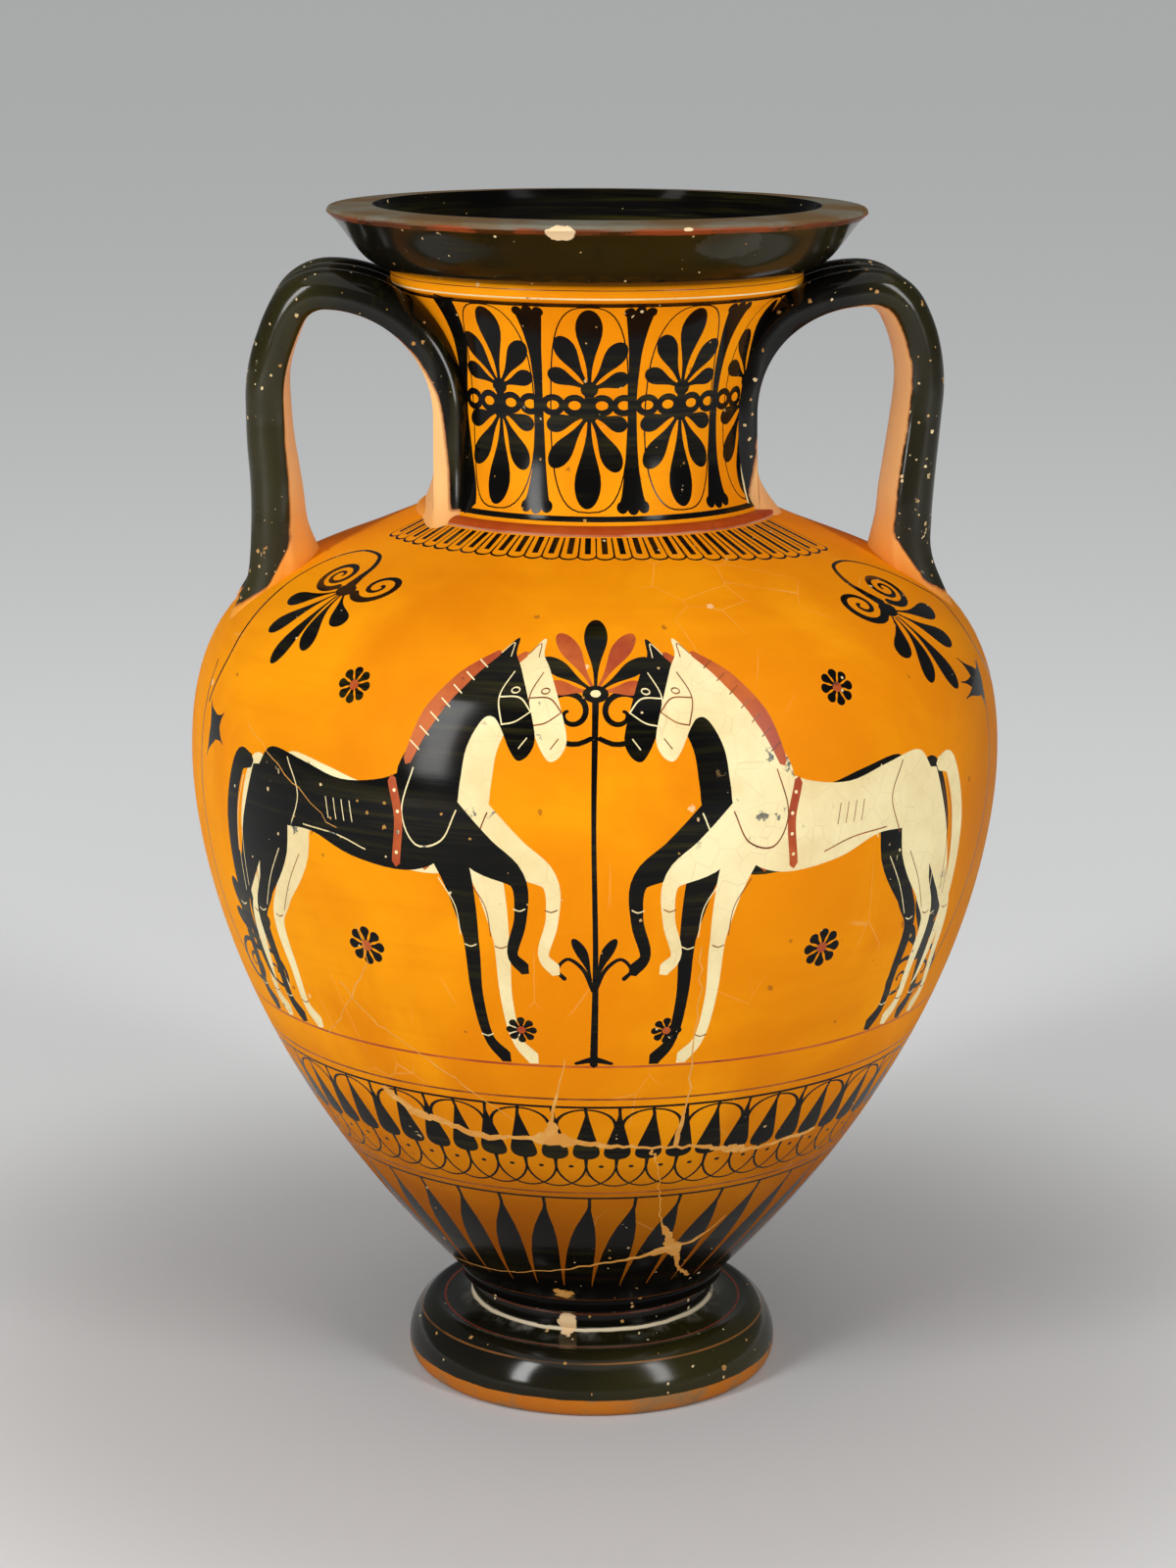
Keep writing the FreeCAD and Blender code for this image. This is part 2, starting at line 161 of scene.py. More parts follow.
class StageSizes(bpy.types.PropertyGroup):
    distance: length("Camera distance", "From the vase's axis to the camera", 1245.2)
    height: length("Camera height", "Height of the camera above the ground", 506.4)
    offset: length("Camera offset", "The camera's place to the side of the axis", -2.3)
    tilt: turn("Camera tilt", "How far the camera looks down", math.degrees(0.23))
    roll: turn("Camera roll", "The picture's turn", math.degrees(0.0045))
    lens: FloatProperty(name="Lens", description="Focal length on a frame 36 mm high", default=81.95)


SETTINGS = {
    "amphora_colours": ClayColours,
    "amphora_foot": FootSizes,
    "amphora_body": BodySizes,
    "amphora_neck": NeckSizes,
    "amphora_mouth": MouthSizes,
    "amphora_handles": HandleSizes,
    "amphora_stage": StageSizes,
}


# Outlines in millimetres


class Sizes:
    """One group of settings, read in millimetres."""

    def __init__(self, group):
        self.group = getattr(bpy.context.scene, group)

    def __getattr__(self, name):
        return getattr(self.group, name) / MM


def bezier(start, end, shares, steps=40):
    """Points after the start of a smooth curve whose handles are shares of its span."""
    start, end = np.array(start, float), np.array(end, float)
    near = start + (end - start) * np.array(shares[0])
    far = start + (end - start) * np.array(shares[1])
    t = np.linspace(0, 1, steps + 1)[1:, None]
    return (1 - t) ** 3 * start + 3 * (1 - t) ** 2 * t * near + 3 * (1 - t) * t * t * far + t ** 3 * end


def outline(start, *steps):
    """Join straight and smooth steps. A step is its end, or its end, its shares and its number of points."""
    points = [np.array([start], float)]
    for step in steps:
        here = points[-1][-1]
        if len(step) == 2:
            points.append(np.array([step], float))
        else:
            points.append(bezier(here, step[0], step[1], step[2]))
    return np.vstack(points)


def turned_round(shares):
    return tuple((1 - across, 1 - up) for across, up in reversed(shares))


FOOT_EDGE_SHARES = ((0.75, 0.0), (1.0, 0.55))
FOOT_ROLL_SHARES = ((0.0, 0.43), (0.5, 1.0))
FOOT_DISH_SHARES = ((0.33, -0.7), (0.76, -0.45))
RING_SHARES = ((2.0, 0.3), (2.0, 0.7))
BODY_ROLL_SHARES = ((0.7, 0.0), (1.0, 0.45))
BODY_LOWER_SHARES = ((0.92, 0.465), (1.0, 0.875))
BODY_UPPER_SHARES = ((0.0, 0.785), (0.527, 0.785))
BODY_FLOOR_SHARES = ((0.32, 0.9), (0.6, 1.0))
COLLAR_SHARES = ((0.0, 0.55), (0.45, 1.0))
NECK_LOWER_SHARES = ((0.63, 0.2), (1.0, 0.56))
NECK_UPPER_SHARES = ((0.0, 0.44), (0.3, 0.755))
BAND_SHARES = ((1.3, 0.03), (1.5, 0.65))
MOUTH_SHARES = ((0.545, 0.105), (0.636, 0.655))
LIP_EDGE_SHARES = ((0.0, 0.55), (0.45, 1.0))
MOUTH_INSIDE_SHARES = ((0.1, 0.35), (0.7, 0.7))


def body_outside():
    size = Sizes("amphora_body")
    return outline(
        (size.base_radius, BODY_FOOT),
        ((size.base_radius + size.roll_swell, BODY_FOOT + size.roll_height), BODY_ROLL_SHARES, 60),
        ((BODY_RADIUS, size.belly), BODY_LOWER_SHARES, 500),
        ((COLLAR_RADIUS, SHOULDER), BODY_UPPER_SHARES, 400))


def body_inside():
    size = Sizes("amphora_body")
    bore = Sizes("amphora_neck").base_radius - Sizes("amphora_neck").wall
    return outline(
        (COLLAR_RADIUS, SHOULDER), (bore, SHOULDER), (bore, SHOULDER - size.shoulder_edge),
        ((BODY_RADIUS - size.wall, size.belly), turned_round(BODY_UPPER_SHARES), 30),
        ((size.base_radius, BODY_FOOT + size.roll_height + size.wall), turned_round(BODY_LOWER_SHARES), 40),
        ((0, BODY_FOOT + size.floor), BODY_FLOOR_SHARES, 12))


def neck_outside():
    size = Sizes("amphora_neck")
    return outline(
        (size.base_radius, SHOULDER), (size.base_radius, COLLAR_TOP),
        ((size.waist_radius, size.waist), NECK_LOWER_SHARES, 150),
        ((size.top_radius, NECK_TOP - size.band_height), NECK_UPPER_SHARES, 250),
        ((size.top_radius + size.band_swell, NECK_TOP), BAND_SHARES, 60))


def neck_inside():
    size = Sizes("amphora_neck")
    return outline(
        (size.top_radius + size.band_swell, NECK_TOP), (size.top_radius - size.wall, NECK_TOP),
        ((size.waist_radius - size.wall, size.waist), turned_round(NECK_UPPER_SHARES), 20),
        ((size.base_radius - size.wall, SHOULDER), turned_round(NECK_LOWER_SHARES), 14),
        (size.base_radius, SHOULDER))


# Painted shapes, in millimetres across and up from their own middle


def smooth_line(points, steps=6, closed=False):
    """A smooth curve through the points."""
    points = np.array(points, float)
    count = len(points)
    if closed:
        spans = [(points[k - 1], points[k], points[(k + 1) % count], points[(k + 2) % count]) for k in range(count)]
    else:
        ends = np.vstack([2 * points[0] - points[1], points, 2 * points[-1] - points[-2]])
        spans = [tuple(ends[k:k + 4]) for k in range(count - 1)]
    t = (np.arange(steps) / steps)[:, None]
    curve = np.vstack([0.5 * (2 * b + (c - a) * t + (2 * a - 5 * b + 4 * c - d) * t ** 2
                              + (3 * b - a - 3 * c + d) * t ** 3) for a, b, c, d in spans])
    return curve if closed else np.vstack([curve, points[-1]])


def stroke(points, widths, steps=6):
    """A brush line along a smooth curve, whose width changes evenly between the widths given."""
    line = smooth_line(points, steps)
    widths = np.interp(np.linspace(0, 1, len(line)), np.linspace(0, 1, len(widths)), widths) / 2
    along = np.gradient(line, axis=0)
    along /= np.maximum(np.linalg.norm(along, axis=1), 1e-9)[:, None]
    side = np.stack([-along[:, 1], along[:, 0]], 1) * widths[:, None]
    start = line[0] - along[0] * widths[0] * 0.8
    end = line[-1] + along[-1] * widths[-1] * 0.8
    return np.vstack([start, line + side, end, (line - side)[::-1]])


def frond(root, tip, width, bend=0.0, root_width=1.0, swell=0.68, steps=9):
    """A drop with its point at the root. Bend moves its middle to the side, as a share of its length. Swell is
    the share of the length where it is widest."""
    root, tip = np.array(root, float), np.array(tip, float)
    past = np.sin(np.linspace(0, 1, steps) * math.pi / 2)[1:]
    t = np.concatenate([np.linspace(0, swell, steps), swell + (1 - swell) * past])
    ease = np.clip(t / swell, 0, 1) ** 1.35
    rounded = np.sqrt(np.clip(1 - ((t - swell) / (1 - swell)) ** 2, 0, 1))
    half = np.where(t <= swell, root_width / 2 + (width - root_width) / 2 * (ease ** 2 * (3 - 2 * ease)),
                    width / 2 * rounded)
    along = tip - root
    size = np.linalg.norm(along)
    side = np.array([-along[1], along[0]]) / size
    middle = root + along * t[:, None] + side * (np.sin(t * math.pi) * bend * size)[:, None]
    return np.vstack([middle + side * half[:, None], (middle - side * half[:, None])[::-1][1:]])


def oval(centre, across, up, points=16, power=2.0):
    """An oval, squarer the higher its power is."""
    turn = np.linspace(0, FULL_TURN, points, endpoint=False)
    shape = np.stack([np.sign(part) * np.abs(part) ** (2 / power) * size / 2
                      for part, size in ((np.cos(turn), across), (np.sin(turn), up))], 1)
    return shape + np.array(centre)


def spiral(centre, start, end_radius, turns, widths, clockwise=False, steps=14):
    """A brush line that winds in from the start to the end radius round the centre."""
    centre, start = np.array(centre, float), np.array(start, float)
    arm = start - centre
    angle = math.atan2(arm[1], arm[0])
    t = np.linspace(0, 1, int(steps * turns) + 1)
    radius = np.linalg.norm(arm) * (1 - t) + end_radius * t
    turn = angle + (-1 if clockwise else 1) * turns * FULL_TURN * t
    return stroke(centre + np.stack([np.cos(turn), np.sin(turn)], 1) * radius[:, None], widths, steps=2)


# The coats of a painted skin, in the order of its materials
CLAY, BLACK, CREAM, RED, BROWN, FILL, INSIDE = range(7)

# A skin is cut flat, with an angle of one radian as wide as this many millimetres, over a net of columns and
# rows. Points nearer than the snap are one point, and so are corners nearer than the merge, in metres
FLAT_RADIUS = 100.0
COLUMNS = 144
ROW_STEP = 4.5
SNAP = 1e-4
MERGE = 2e-6
SEAM_TURNS = (-FULL_TURN, 0, FULL_TURN)

# Edges flatter than these angles, in degrees, are shaded smooth
SKIN_SMOOTH, TURNED_SMOOTH, HANDLE_SMOOTH = 40, 35, 50


class Painting:
    """A turned surface unrolled, with its coats of paint in the order in which they are laid. A place on it
    is an angle from the front and a length up the profile."""

    def __init__(self, profile):
        self.radii = profile[:, 0]
        self.heights = profile[:, 1]
        self.lengths = np.concatenate([[0], np.cumsum(np.hypot(*np.diff(profile, axis=0).T))])
        slopes = np.gradient(profile, self.lengths, axis=0)
        self.slopes = slopes / np.linalg.norm(slopes, axis=1)[:, None]
        self.coats = []

    def up_to(self, height):
        return float(np.interp(height, self.heights, self.lengths))

    def radius(self, length_up):
        return np.interp(length_up, self.lengths, self.radii)

    def band(self, slot, low, high):
        """A coat all the way round between two lengths up the profile."""
        self.coats.append((slot, None, (low, high)))

    def laid(self, slot, places):
        """A coat whose outline is already in angles (radians) and lengths up."""
        places = np.array(places, float) - (math.radians(VIEW_TURN), 0)
        self.coats.append((slot, places, (places[:, 1].min(), places[:, 1].max())))

    def put(self, slot, points, angle, length_up, turn=0.0, size=1.0, mirror=False):
        """A coat drawn in millimetres round a place on the surface. Angle and turn are in degrees."""
        across, up = (np.array(points, float) * size).T
        if mirror:
            across = -across
        turn = math.radians(turn)
        across, up = across * math.cos(turn) - up * math.sin(turn), across * math.sin(turn) + up * math.cos(turn)
        lengths = length_up + up
        self.laid(slot, np.stack([math.radians(angle) + across / self.radius(lengths), lengths], 1))

    def outlines(self):
        """Every outline, repeated past the seam at the back."""
        for slot, places, _ in self.coats:
            if places is None:
                continue
            for turn in SEAM_TURNS:
                moved = places + (turn, 0)
                if moved[:, 0].max() > -math.pi - 0.05 and moved[:, 0].min() < math.pi + 0.05:
                    yield slot, moved

    def flat_mesh(self):
        """Cut the unrolled surface along every outline. Gives the places and the triangles."""
        top = self.lengths[-1]
        rows = np.linspace(0, top, int(top / ROW_STEP) + 1)
        columns = np.linspace(-math.pi, math.pi, COLUMNS + 1)
        places = [np.array([(c, r) for r in rows for c in columns])]
        count = len(places[0])
        edges = []
        across = len(columns)
        for row in range(len(rows) - 1):
            for column in (0, across - 1):
                edges.append((row * across + column, (row + 1) * across + column))
        for row in (0, len(rows) - 1):
            edges += [(row * across + column, row * across + column + 1) for column in range(across - 1)]
        borders = sorted({limit for _, shape, limits in self.coats if shape is None for limit in limits
                          if 0 < limit < top})
        for border in borders:
            places.append(np.stack([columns, np.full(across, border)], 1))
            edges += [(count + column, count + column + 1) for column in range(across - 1)]
            count += across
        for _, shape in self.outlines():
            places.append(shape)
            size = len(shape)
            edges += [(count + k, count + (k + 1) % size) for k in range(size)]
            count += size
        flat = np.vstack(places) * (FLAT_RADIUS, 1)
        points, _, faces, _, _, _ = delaunay_2d_cdt([Vector(p) for p in flat.tolist()], edges, [], 0, SNAP)
        points = np.array([tuple(p) for p in points]) / (FLAT_RADIUS, 1)
        faces = np.array([f for f in faces if len(f) == 3])
        middles = points[faces].mean(axis=1)
        kept = (np.abs(middles[:, 0]) < math.pi) & (middles[:, 1] > 0) & (middles[:, 1] < top)
        return points, faces[kept], middles[kept]

    def slots(self, middles):
        """The top coat at each place."""
        order = np.argsort(middles[:, 0])
        angles = middles[order, 0]
        heights = middles[order, 1]
        result = np.full(len(order), CLAY)
        for slot, shape, limits in self.coats:
            if shape is None:
                result[(heights > limits[0]) & (heights < limits[1])] = slot
                continue
            for turn in SEAM_TURNS:
                moved = shape + (turn, 0)
                low, high = np.searchsorted(angles, (moved[:, 0].min(), moved[:, 0].max()))
                if low == high:
                    continue
                near = np.nonzero((heights[low:high] > limits[0]) & (heights[low:high] < limits[1]))[0] + low
                if len(near):
                    result[near[wound(moved, angles[near], heights[near])]] = slot
        slots = np.empty(len(order), int)
        slots[order] = result
        return slots

    def point(self, angle, length_up):
        radius = self.radius(length_up)
        height = np.interp(length_up, self.lengths, self.heights)
        return np.stack([radius * np.sin(angle), -radius * np.cos(angle), height], 1) * MM

    def normal(self, angle, length_up):
        slope_out = np.interp(length_up, self.lengths, self.slopes[:, 0])
        slope_up = np.interp(length_up, self.lengths, self.slopes[:, 1])
        return np.stack([slope_up * np.sin(angle), -slope_up * np.cos(angle), -slope_out], 1)


def wound(shape, across, up):
    """Which places an outline goes round."""
    ax, ay = shape.T
    bx, by = np.roll(shape, -1, axis=0).T
    x, y = across[:, None], up[:, None]
    side = (bx - ax) * (y - ay) - (x - ax) * (by - ay)
    winding = ((ay <= y) & (by > y) & (side > 0)).astype(int) - ((ay > y) & (by <= y) & (side < 0)).astype(int)
    return winding.sum(axis=1) != 0


def piece_of(name, bm, materials, degrees):
    """A piece with the mesh that was made, smooth over edges flatter than the angle."""
    mesh = bpy.data.meshes.new(name)
    bm.to_mesh(mesh)
    bm.free()
    piece = bpy.data.objects.new(name, mesh)
    bpy.context.scene.collection.objects.link(piece)
    for material in materials:
        mesh.materials.append(material)
    smooth(piece, degrees)
    return piece


def painted_piece(name, painting, linings, materials):
    """A turned piece whose outside carries the painting, closed by its linings."""
    places, faces, middles = painting.flat_mesh()
    slots = painting.slots(middles)
    points = painting.point(places[:, 0], places[:, 1])
    columns = np.linspace(-math.pi, math.pi, COLUMNS + 1)[:-1]
    bm = bmesh.new()
    verts = [bm.verts.new(p) for p in points.tolist()]
    for corners, slot in zip(faces.tolist(), slots.tolist()):
        bm.faces.new([verts[k] for k in corners]).material_index = slot
    for profile in linings:
        lining = Painting(profile)
        rows = [[bm.verts.new(p) for p in lining.point(columns, np.full(COLUMNS, at)).tolist()]
                for at in lining.lengths]
        for low, high in zip(rows, rows[1:]):
            for k in range(COLUMNS):
                after = (k + 1) % COLUMNS
                bm.faces.new((low[k], low[after], high[after], high[k])).material_index = INSIDE
    bmesh.ops.delete(bm, geom=[v for v in bm.verts if not v.link_faces], context="VERTS")
    bmesh.ops.remove_doubles(bm, verts=bm.verts, dist=MERGE)
    piece = piece_of(name, bm, materials, SKIN_SMOOTH)
    shade_as_turned(piece.data, painting)
    return piece


def shade_as_turned(mesh, painting):
    """Give the outside the slopes of the surface that it was laid on, so that its cuts don't show."""
    count = len(mesh.loops)
    normals = np.zeros(count * 3, dtype=np.float32)
    mesh.corner_normals.foreach_get("vector", normals)
    normals = normals.reshape(-1, 3)
    corners = np.zeros(count, dtype=np.int32)
    mesh.loops.foreach_get("vertex_index", corners)
    places = np.zeros(len(mesh.vertices) * 3, dtype=np.float32)
    mesh.vertices.foreach_get("co", places)
    x, y, z = places.reshape(-1, 3)[corners].T.astype(float) / MM
    sizes = np.zeros(len(mesh.polygons), dtype=np.int32)
    slots = np.zeros(len(mesh.polygons), dtype=np.int32)
    mesh.polygons.foreach_get("loop_total", sizes)
    mesh.polygons.foreach_get("material_index", slots)
    outside = np.repeat(slots, sizes) != INSIDE
    length_up = np.interp(z, painting.heights, painting.lengths)
    normals[outside] = painting.normal(np.arctan2(x, -y), length_up)[outside]
    mesh.normals_split_custom_set(normals.tolist())


# Node materials


class Finish:
    """A node material as it is put together."""

    def __init__(self, name):
        self.material = bpy.data.materials.new(name)
        self.material.use_nodes = True
        self.tree = self.material.node_tree
        self.tree.nodes.clear()
        self.place = self.node("ShaderNodeTexCoord").outputs["Object"]
        self.x, _, self.z = self.node("ShaderNodeSeparateXYZ", {0: self.place}).outputs

    def node(self, kind, values=None, **settings):
        node = self.tree.nodes.new(kind)
        for name, value in settings.items():
            setattr(node, name, value)
        for key, value in (values or {}).items():
            if isinstance(value, bpy.types.NodeSocket):
                self.tree.links.new(value, node.inputs[key])
            else:
                node.inputs[key].default_value = value
        return node

    def maths(self, operation, a, b=0.0):
        return self.node("ShaderNodeMath", {0: a, 1: b}, operation=operation).outputs[0]

    def times(self, a, b):
        return self.maths("MULTIPLY", a, b)

    def plus(self, a, b):
        return self.maths("ADD", a, b)

    def vector(self, operation, a, b=(0, 0, 0)):
        return self.node("ShaderNodeVectorMath", {0: a, 1: b}, operation=operation).outputs

    def ease(self, value, low, high, to_low=0.0, to_high=1.0):
        """Smooth step from one value to another."""
        return self.node("ShaderNodeMapRange", {0: value, 1: low, 2: high, 3: to_low, 4: to_high},
                         interpolation_type="SMOOTHSTEP").outputs[0]

    def blend(self, factor, a, b):
        def full(value):
            return (*value, 1.0) if isinstance(value, tuple) and len(value) == 3 else value
        return self.node("ShaderNodeMix", {0: factor, 6: full(a), 7: full(b)}, data_type="RGBA").outputs[2]

    def between(self, factor, a, b):
        return self.node("ShaderNodeMix", {0: factor, 2: a, 3: b}, data_type="FLOAT").outputs[0]

    def stretched(self, x, y, z, shift=(0, 0, 0)):
        return self.node("ShaderNodeMapping", {"Vector": self.place, "Scale": (x, y, z), "Location": shift}).outputs[0]

    def noise(self, scale, detail=2.0, roughness=0.5, place=None, warp=0.0):
        return self.node("ShaderNodeTexNoise", {
            "Vector": place or self.place, "Scale": scale, "Detail": detail, "Roughness": roughness,
            "Distortion": warp}).outputs["Fac"]

    def cells(self, scale, place=None, feature="F1"):
        return self.node("ShaderNodeTexVoronoi", {"Vector": place or self.place, "Scale": scale}, feature=feature)

    def specks(self, scale, size, share, seed=0.0):
        """Small round spots in some of the cells of a pattern."""
        cells = self.cells(scale, self.stretched(1, 1, 1, (seed, seed * 0.7, seed * 1.3)))
        chosen = self.node("ShaderNodeSeparateColor", {0: cells.outputs["Color"]})
        radius = self.times(self.times(chosen.outputs[1], size), self.noise(900, 2))
        near = self.maths("LESS_THAN", cells.outputs["Distance"], radius)
        return self.times(near, self.maths("LESS_THAN", chosen.outputs[0], share))

    def spot(self, x, y, z, across, up, ragged=0.35):
        """A ragged spot round a place given in millimetres."""
        moved = self.vector("SUBTRACT", self.place, (x * MM, y * MM, z * MM))[0]
        sized = self.vector("MULTIPLY", moved, (1 / (across * MM), 1 / (across * MM), 1 / (up * MM)))[0]
        far = self.plus(self.vector("LENGTH", sized)["Value"],
                        self.times(self.maths("SUBTRACT", self.noise(420, 3), 0.5), ragged * 2))
        return self.ease(far, 1.05, 0.95)

    def layered(self, factor, under, over):
        """One coat over another. A coat is its colour, roughness and height."""
        return (self.blend(factor, under[0], over[0]), self.between(factor, under[1], over[1]),
                self.between(factor, under[2], over[2]))

    def stained(self, factor, coat, tone):
        return (self.blend(factor, coat[0], tone), *coat[1:])

    def close(self, coat, bump, specular=0.5):
        """Finish the material from a coat. Bump is the height of its lumps in millimetres."""
        tone, rough, height = coat
        shader = self.node("ShaderNodeBsdfPrincipled", {
            "Base Color": tone, "Roughness": rough, "Specular IOR Level": specular})
        if bump:
            lumps = self.node("ShaderNodeBump", {"Height": height, "Strength": 1.0, "Distance": bump * MM})
            self.tree.links.new(lumps.outputs[0], shader.inputs["Normal"])
        self.node("ShaderNodeOutputMaterial", {0: shader.outputs[0]}).is_active_output = True
        return self.material


# The lesser colours: wear, dirt and mends, and painted shade on the clay's right side and on the foot
WEAR = {
    "brown_side": (0.34, 0.105, 0.004), "scratch": (0.9, 0.55, 0.2), "freckle": (0.2, 0.06, 0.012),
    "pale_freckle": (0.92, 0.7, 0.42), "bare_clay": (0.4, 0.15, 0.04), "foot_clay": (0.33, 0.082, 0.003),
    "handle_clay": (0.77, 0.54, 0.25), "root_pale": (0.6, 0.3, 0.08), "dirt": (0.2, 0.13, 0.06),
    "dust": (0.4, 0.38, 0.32), "smear": (0.05, 0.048, 0.036), "rust": (0.03, 0.013, 0.004),
    "slip_halo": (0.24, 0.05, 0.012), "chip_pale": (0.7, 0.55, 0.3), "chip_clay": (0.4, 0.2, 0.05),
    "deep_chip": (0.66, 0.46, 0.25), "lip_chip": (0.74, 0.55, 0.32), "cream_worn": (0.72, 0.56, 0.27),
    "cream_flaked": (0.1, 0.1, 0.09), "crazing": (0.5, 0.36, 0.18), "red_pale": (0.52, 0.12, 0.018),
    "red_worn": (0.05, 0.02, 0.012), "collar_red": (0.3, 0.035, 0.002), "thin_pale": (0.34, 0.09, 0.012),
    "turned_line": (0.3, 0.11, 0.02), "edge_dark": (0.09, 0.028, 0.01), "edge_red": (0.26, 0.05, 0.012),
    "rim_brown": (0.14, 0.08, 0.032), "fill_pale": (0.74, 0.4, 0.11), "joint_fill": (0.6, 0.5, 0.34),
    "ring_fill": (0.5, 0.45, 0.36), "collar_fill": (0.72, 0.5, 0.3),
}


class Tones:
    """The colours by name: the main ones from the scene's settings and the lesser ones from the table."""

    def __getattr__(self, name):
        return WEAR[name] if name in WEAR else tuple(getattr(bpy.context.scene.amphora_colours, name))


def clay_coat(f, low=True):
    """Burnished clay: cloudy, a little streaked round the pot, finely scratched and freckled. Painted shade
    darkens it on the right side and, when low is set, towards the bottom.
    """
    c = Tones()
    clouds = f.noise(14, 4, 0.55, warp=0.6)
    tone = f.blend(f.ease(clouds, 0.32, 0.7), c.clay_deep, c.clay)
    wheel = f.noise(1, 3, 0.6, f.stretched(9, 9, 260))
    tone = f.blend(f.ease(wheel, 0.45, 0.75, 0, 0.28), tone, c.clay_deep)
    if low:
        # Painted shade: the clay darkens towards the bottom of the body, where it faces down
        drop = f.ease(f.plus(f.z, f.times(clouds, 0.03)), 0.165, 0.072)
        tone = f.blend(f.times(drop, 0.9), tone, c.clay_low)
    scratch = f.cells(46, f.stretched(1, 1, 0.45), "DISTANCE_TO_EDGE").outputs["Distance"]
    scratch = f.times(f.ease(scratch, 0.012, 0.0), f.ease(f.noise(22, 2), 0.55, 0.68))
    tone = f.blend(f.times(scratch, 0.22), tone, c.scratch)
    # Painted shade: the clay darkens on the right side of the pot, more than 0.1 m from the axis
    tone = f.blend(f.ease(f.x, 0.1, 0.145, 0, 0.65), tone, c.brown_side)
    tone = f.blend(f.times(f.specks(170, 0.36, 0.12, seed=3.1), 0.55), tone, c.freckle)
    tone = f.blend(f.times(f.specks(120, 0.3, 0.06, seed=7.7), 0.5), tone, c.pale_freckle)
    rough = f.ease(f.noise(30, 3), 0.3, 0.7, 0.5, 0.6)
    return tone, rough, f.plus(f.times(wheel, 0.6), f.times(scratch, -0.4))


def slip_coat(f, chips=1.0, olive=0.0, upright=False):
    """Glossy black slip: brushed round the pot or upright, thinner here and there, with small losses. Chips
    is how many losses there are, and olive how much of the slip is thin."""
    c = Tones()
    brush = f.noise(1, 4, 0.65, f.stretched(170, 170, 14) if upright else f.stretched(12, 12, 380))
    broad = f.noise(1, 3, 0.5, f.stretched(26, 26, 9) if upright else f.stretched(10, 10, 34))
    thin = f.times(f.ease(brush, 0.42, 0.72), f.ease(broad, 0.4, 0.66))
    cover = f.times(f.ease(broad, 0.3, 0.62, 0.3, 1.0), olive)
    tone = f.blend(f.maths("MAXIMUM", thin, cover), c.slip, c.slip_tinge)
    tone = f.blend(f.ease(f.noise(9, 4, 0.6, warp=1.2), 0.66, 0.76, 0, 0.3), tone, c.rust)
    chipped = f.maths("MAXIMUM", f.specks(330, 0.4 + 0.06 * chips, 0.26 * chips, seed=1.3),
                      f.specks(110, 0.24, 0.1 * chips, seed=5.9))
    flaked = f.times(f.ease(f.noise(170, 5, 0.7), 0.672 - 0.016 * chips, 0.692 - 0.016 * chips),
                     f.ease(f.noise(22, 2), 0.6 - 0.04 * chips, 0.65 - 0.04 * chips))
    losses = f.maths("MAXIMUM", chipped, flaked)
    tone = f.blend(losses, tone, f.blend(f.ease(f.noise(70, 1), 0.4, 0.6), c.chip_pale, c.chip_clay))
    rough = f.between(losses, f.ease(f.noise(40, 3), 0.3, 0.7, 0.1, 0.18), 0.7)
    return tone, rough, f.maths("SUBTRACT", f.times(brush, 0.35), losses)


def worn_patches(f, scale, edge, patch_scale):
    """Ragged losses that lie together in patches."""
    return f.times(f.ease(f.noise(scale, 5, 0.7), 0.6, edge), f.ease(f.noise(patch_scale, 2), 0.5, 0.6))


def cream_coat(f):
    """Cream slip, worn, crazed and flaked off in places."""
    c = Tones()
    clouds = f.noise(26, 4, 0.6)
    flaked = worn_patches(f, 95, 0.64, 17)
    crazing = f.cells(120, feature="DISTANCE_TO_EDGE").outputs["Distance"]
    tone = f.blend(f.ease(clouds, 0.35, 0.7), c.cream, c.cream_worn)
    tone = f.blend(flaked, tone, c.cream_flaked)
    tone = f.blend(f.ease(crazing, 0.02, 0.0, 0, 0.3), tone, c.crazing)
    return tone, f.between(flaked, 0.55, 0.25), f.maths("SUBTRACT", f.times(clouds, 0.4), flaked)


def red_coat(f):
    """Dark red slip, patchy and rubbed through to the black."""
    c = Tones()
    patchy = f.noise(45, 5, 0.65)
    worn = worn_patches(f, 150, 0.66, 24)
    tone = f.blend(f.ease(patchy, 0.3, 0.75), c.red, c.red_pale)
    return f.blend(worn, tone, c.red_worn), f.ease(patchy, 0.3, 0.7, 0.3, 0.5), f.maths("SUBTRACT", patchy, worn)


def thin_coat(f):
    """Thinned slip, of uneven depth."""
    c = Tones()
    uneven = f.noise(90, 4, 0.6)
    return f.blend(f.ease(uneven, 0.35, 0.7), c.thin_slip, c.thin_pale), 0.25, uneven


def fill_coat(f):
    """Tinted plaster, grainy."""
    c = Tones()
    grain = f.noise(160, 5, 0.65)
    return f.blend(f.ease(grain, 0.4, 0.75), c.fill, c.fill_pale), 0.62, grain


def inside_coat(f):
    """Bare clay inside the body."""
    c = Tones()
    grain = f.noise(60, 5, 0.6)
    return f.blend(grain, c.bare_clay, c.clay_low), 0.7, grain


def simple(name, coat, bump, specular=0.5):
    """A material of one coat all over."""
    f = Finish(name)
    return f.close(coat(f), bump, specular)


def skin_materials(lining, gloss):
    """The finishes of a painted skin in the order of its slots."""
    return [
        simple("Burnished clay", clay_coat, 0.05, specular=0.03),
        simple("Black slip", lambda f: slip_coat(f, 0.6), 0.05, specular=gloss),
        simple("Cream slip", cream_coat, 0.08, specular=0.2),
        simple("Dark red slip", red_coat, 0.05, specular=0.2),
        simple("Thinned slip", thin_coat, 0.02, specular=0.2),
        simple("Crack filling", fill_coat, 0.08, specular=0.2),
        simple(*lining, specular=0.04),
    ]


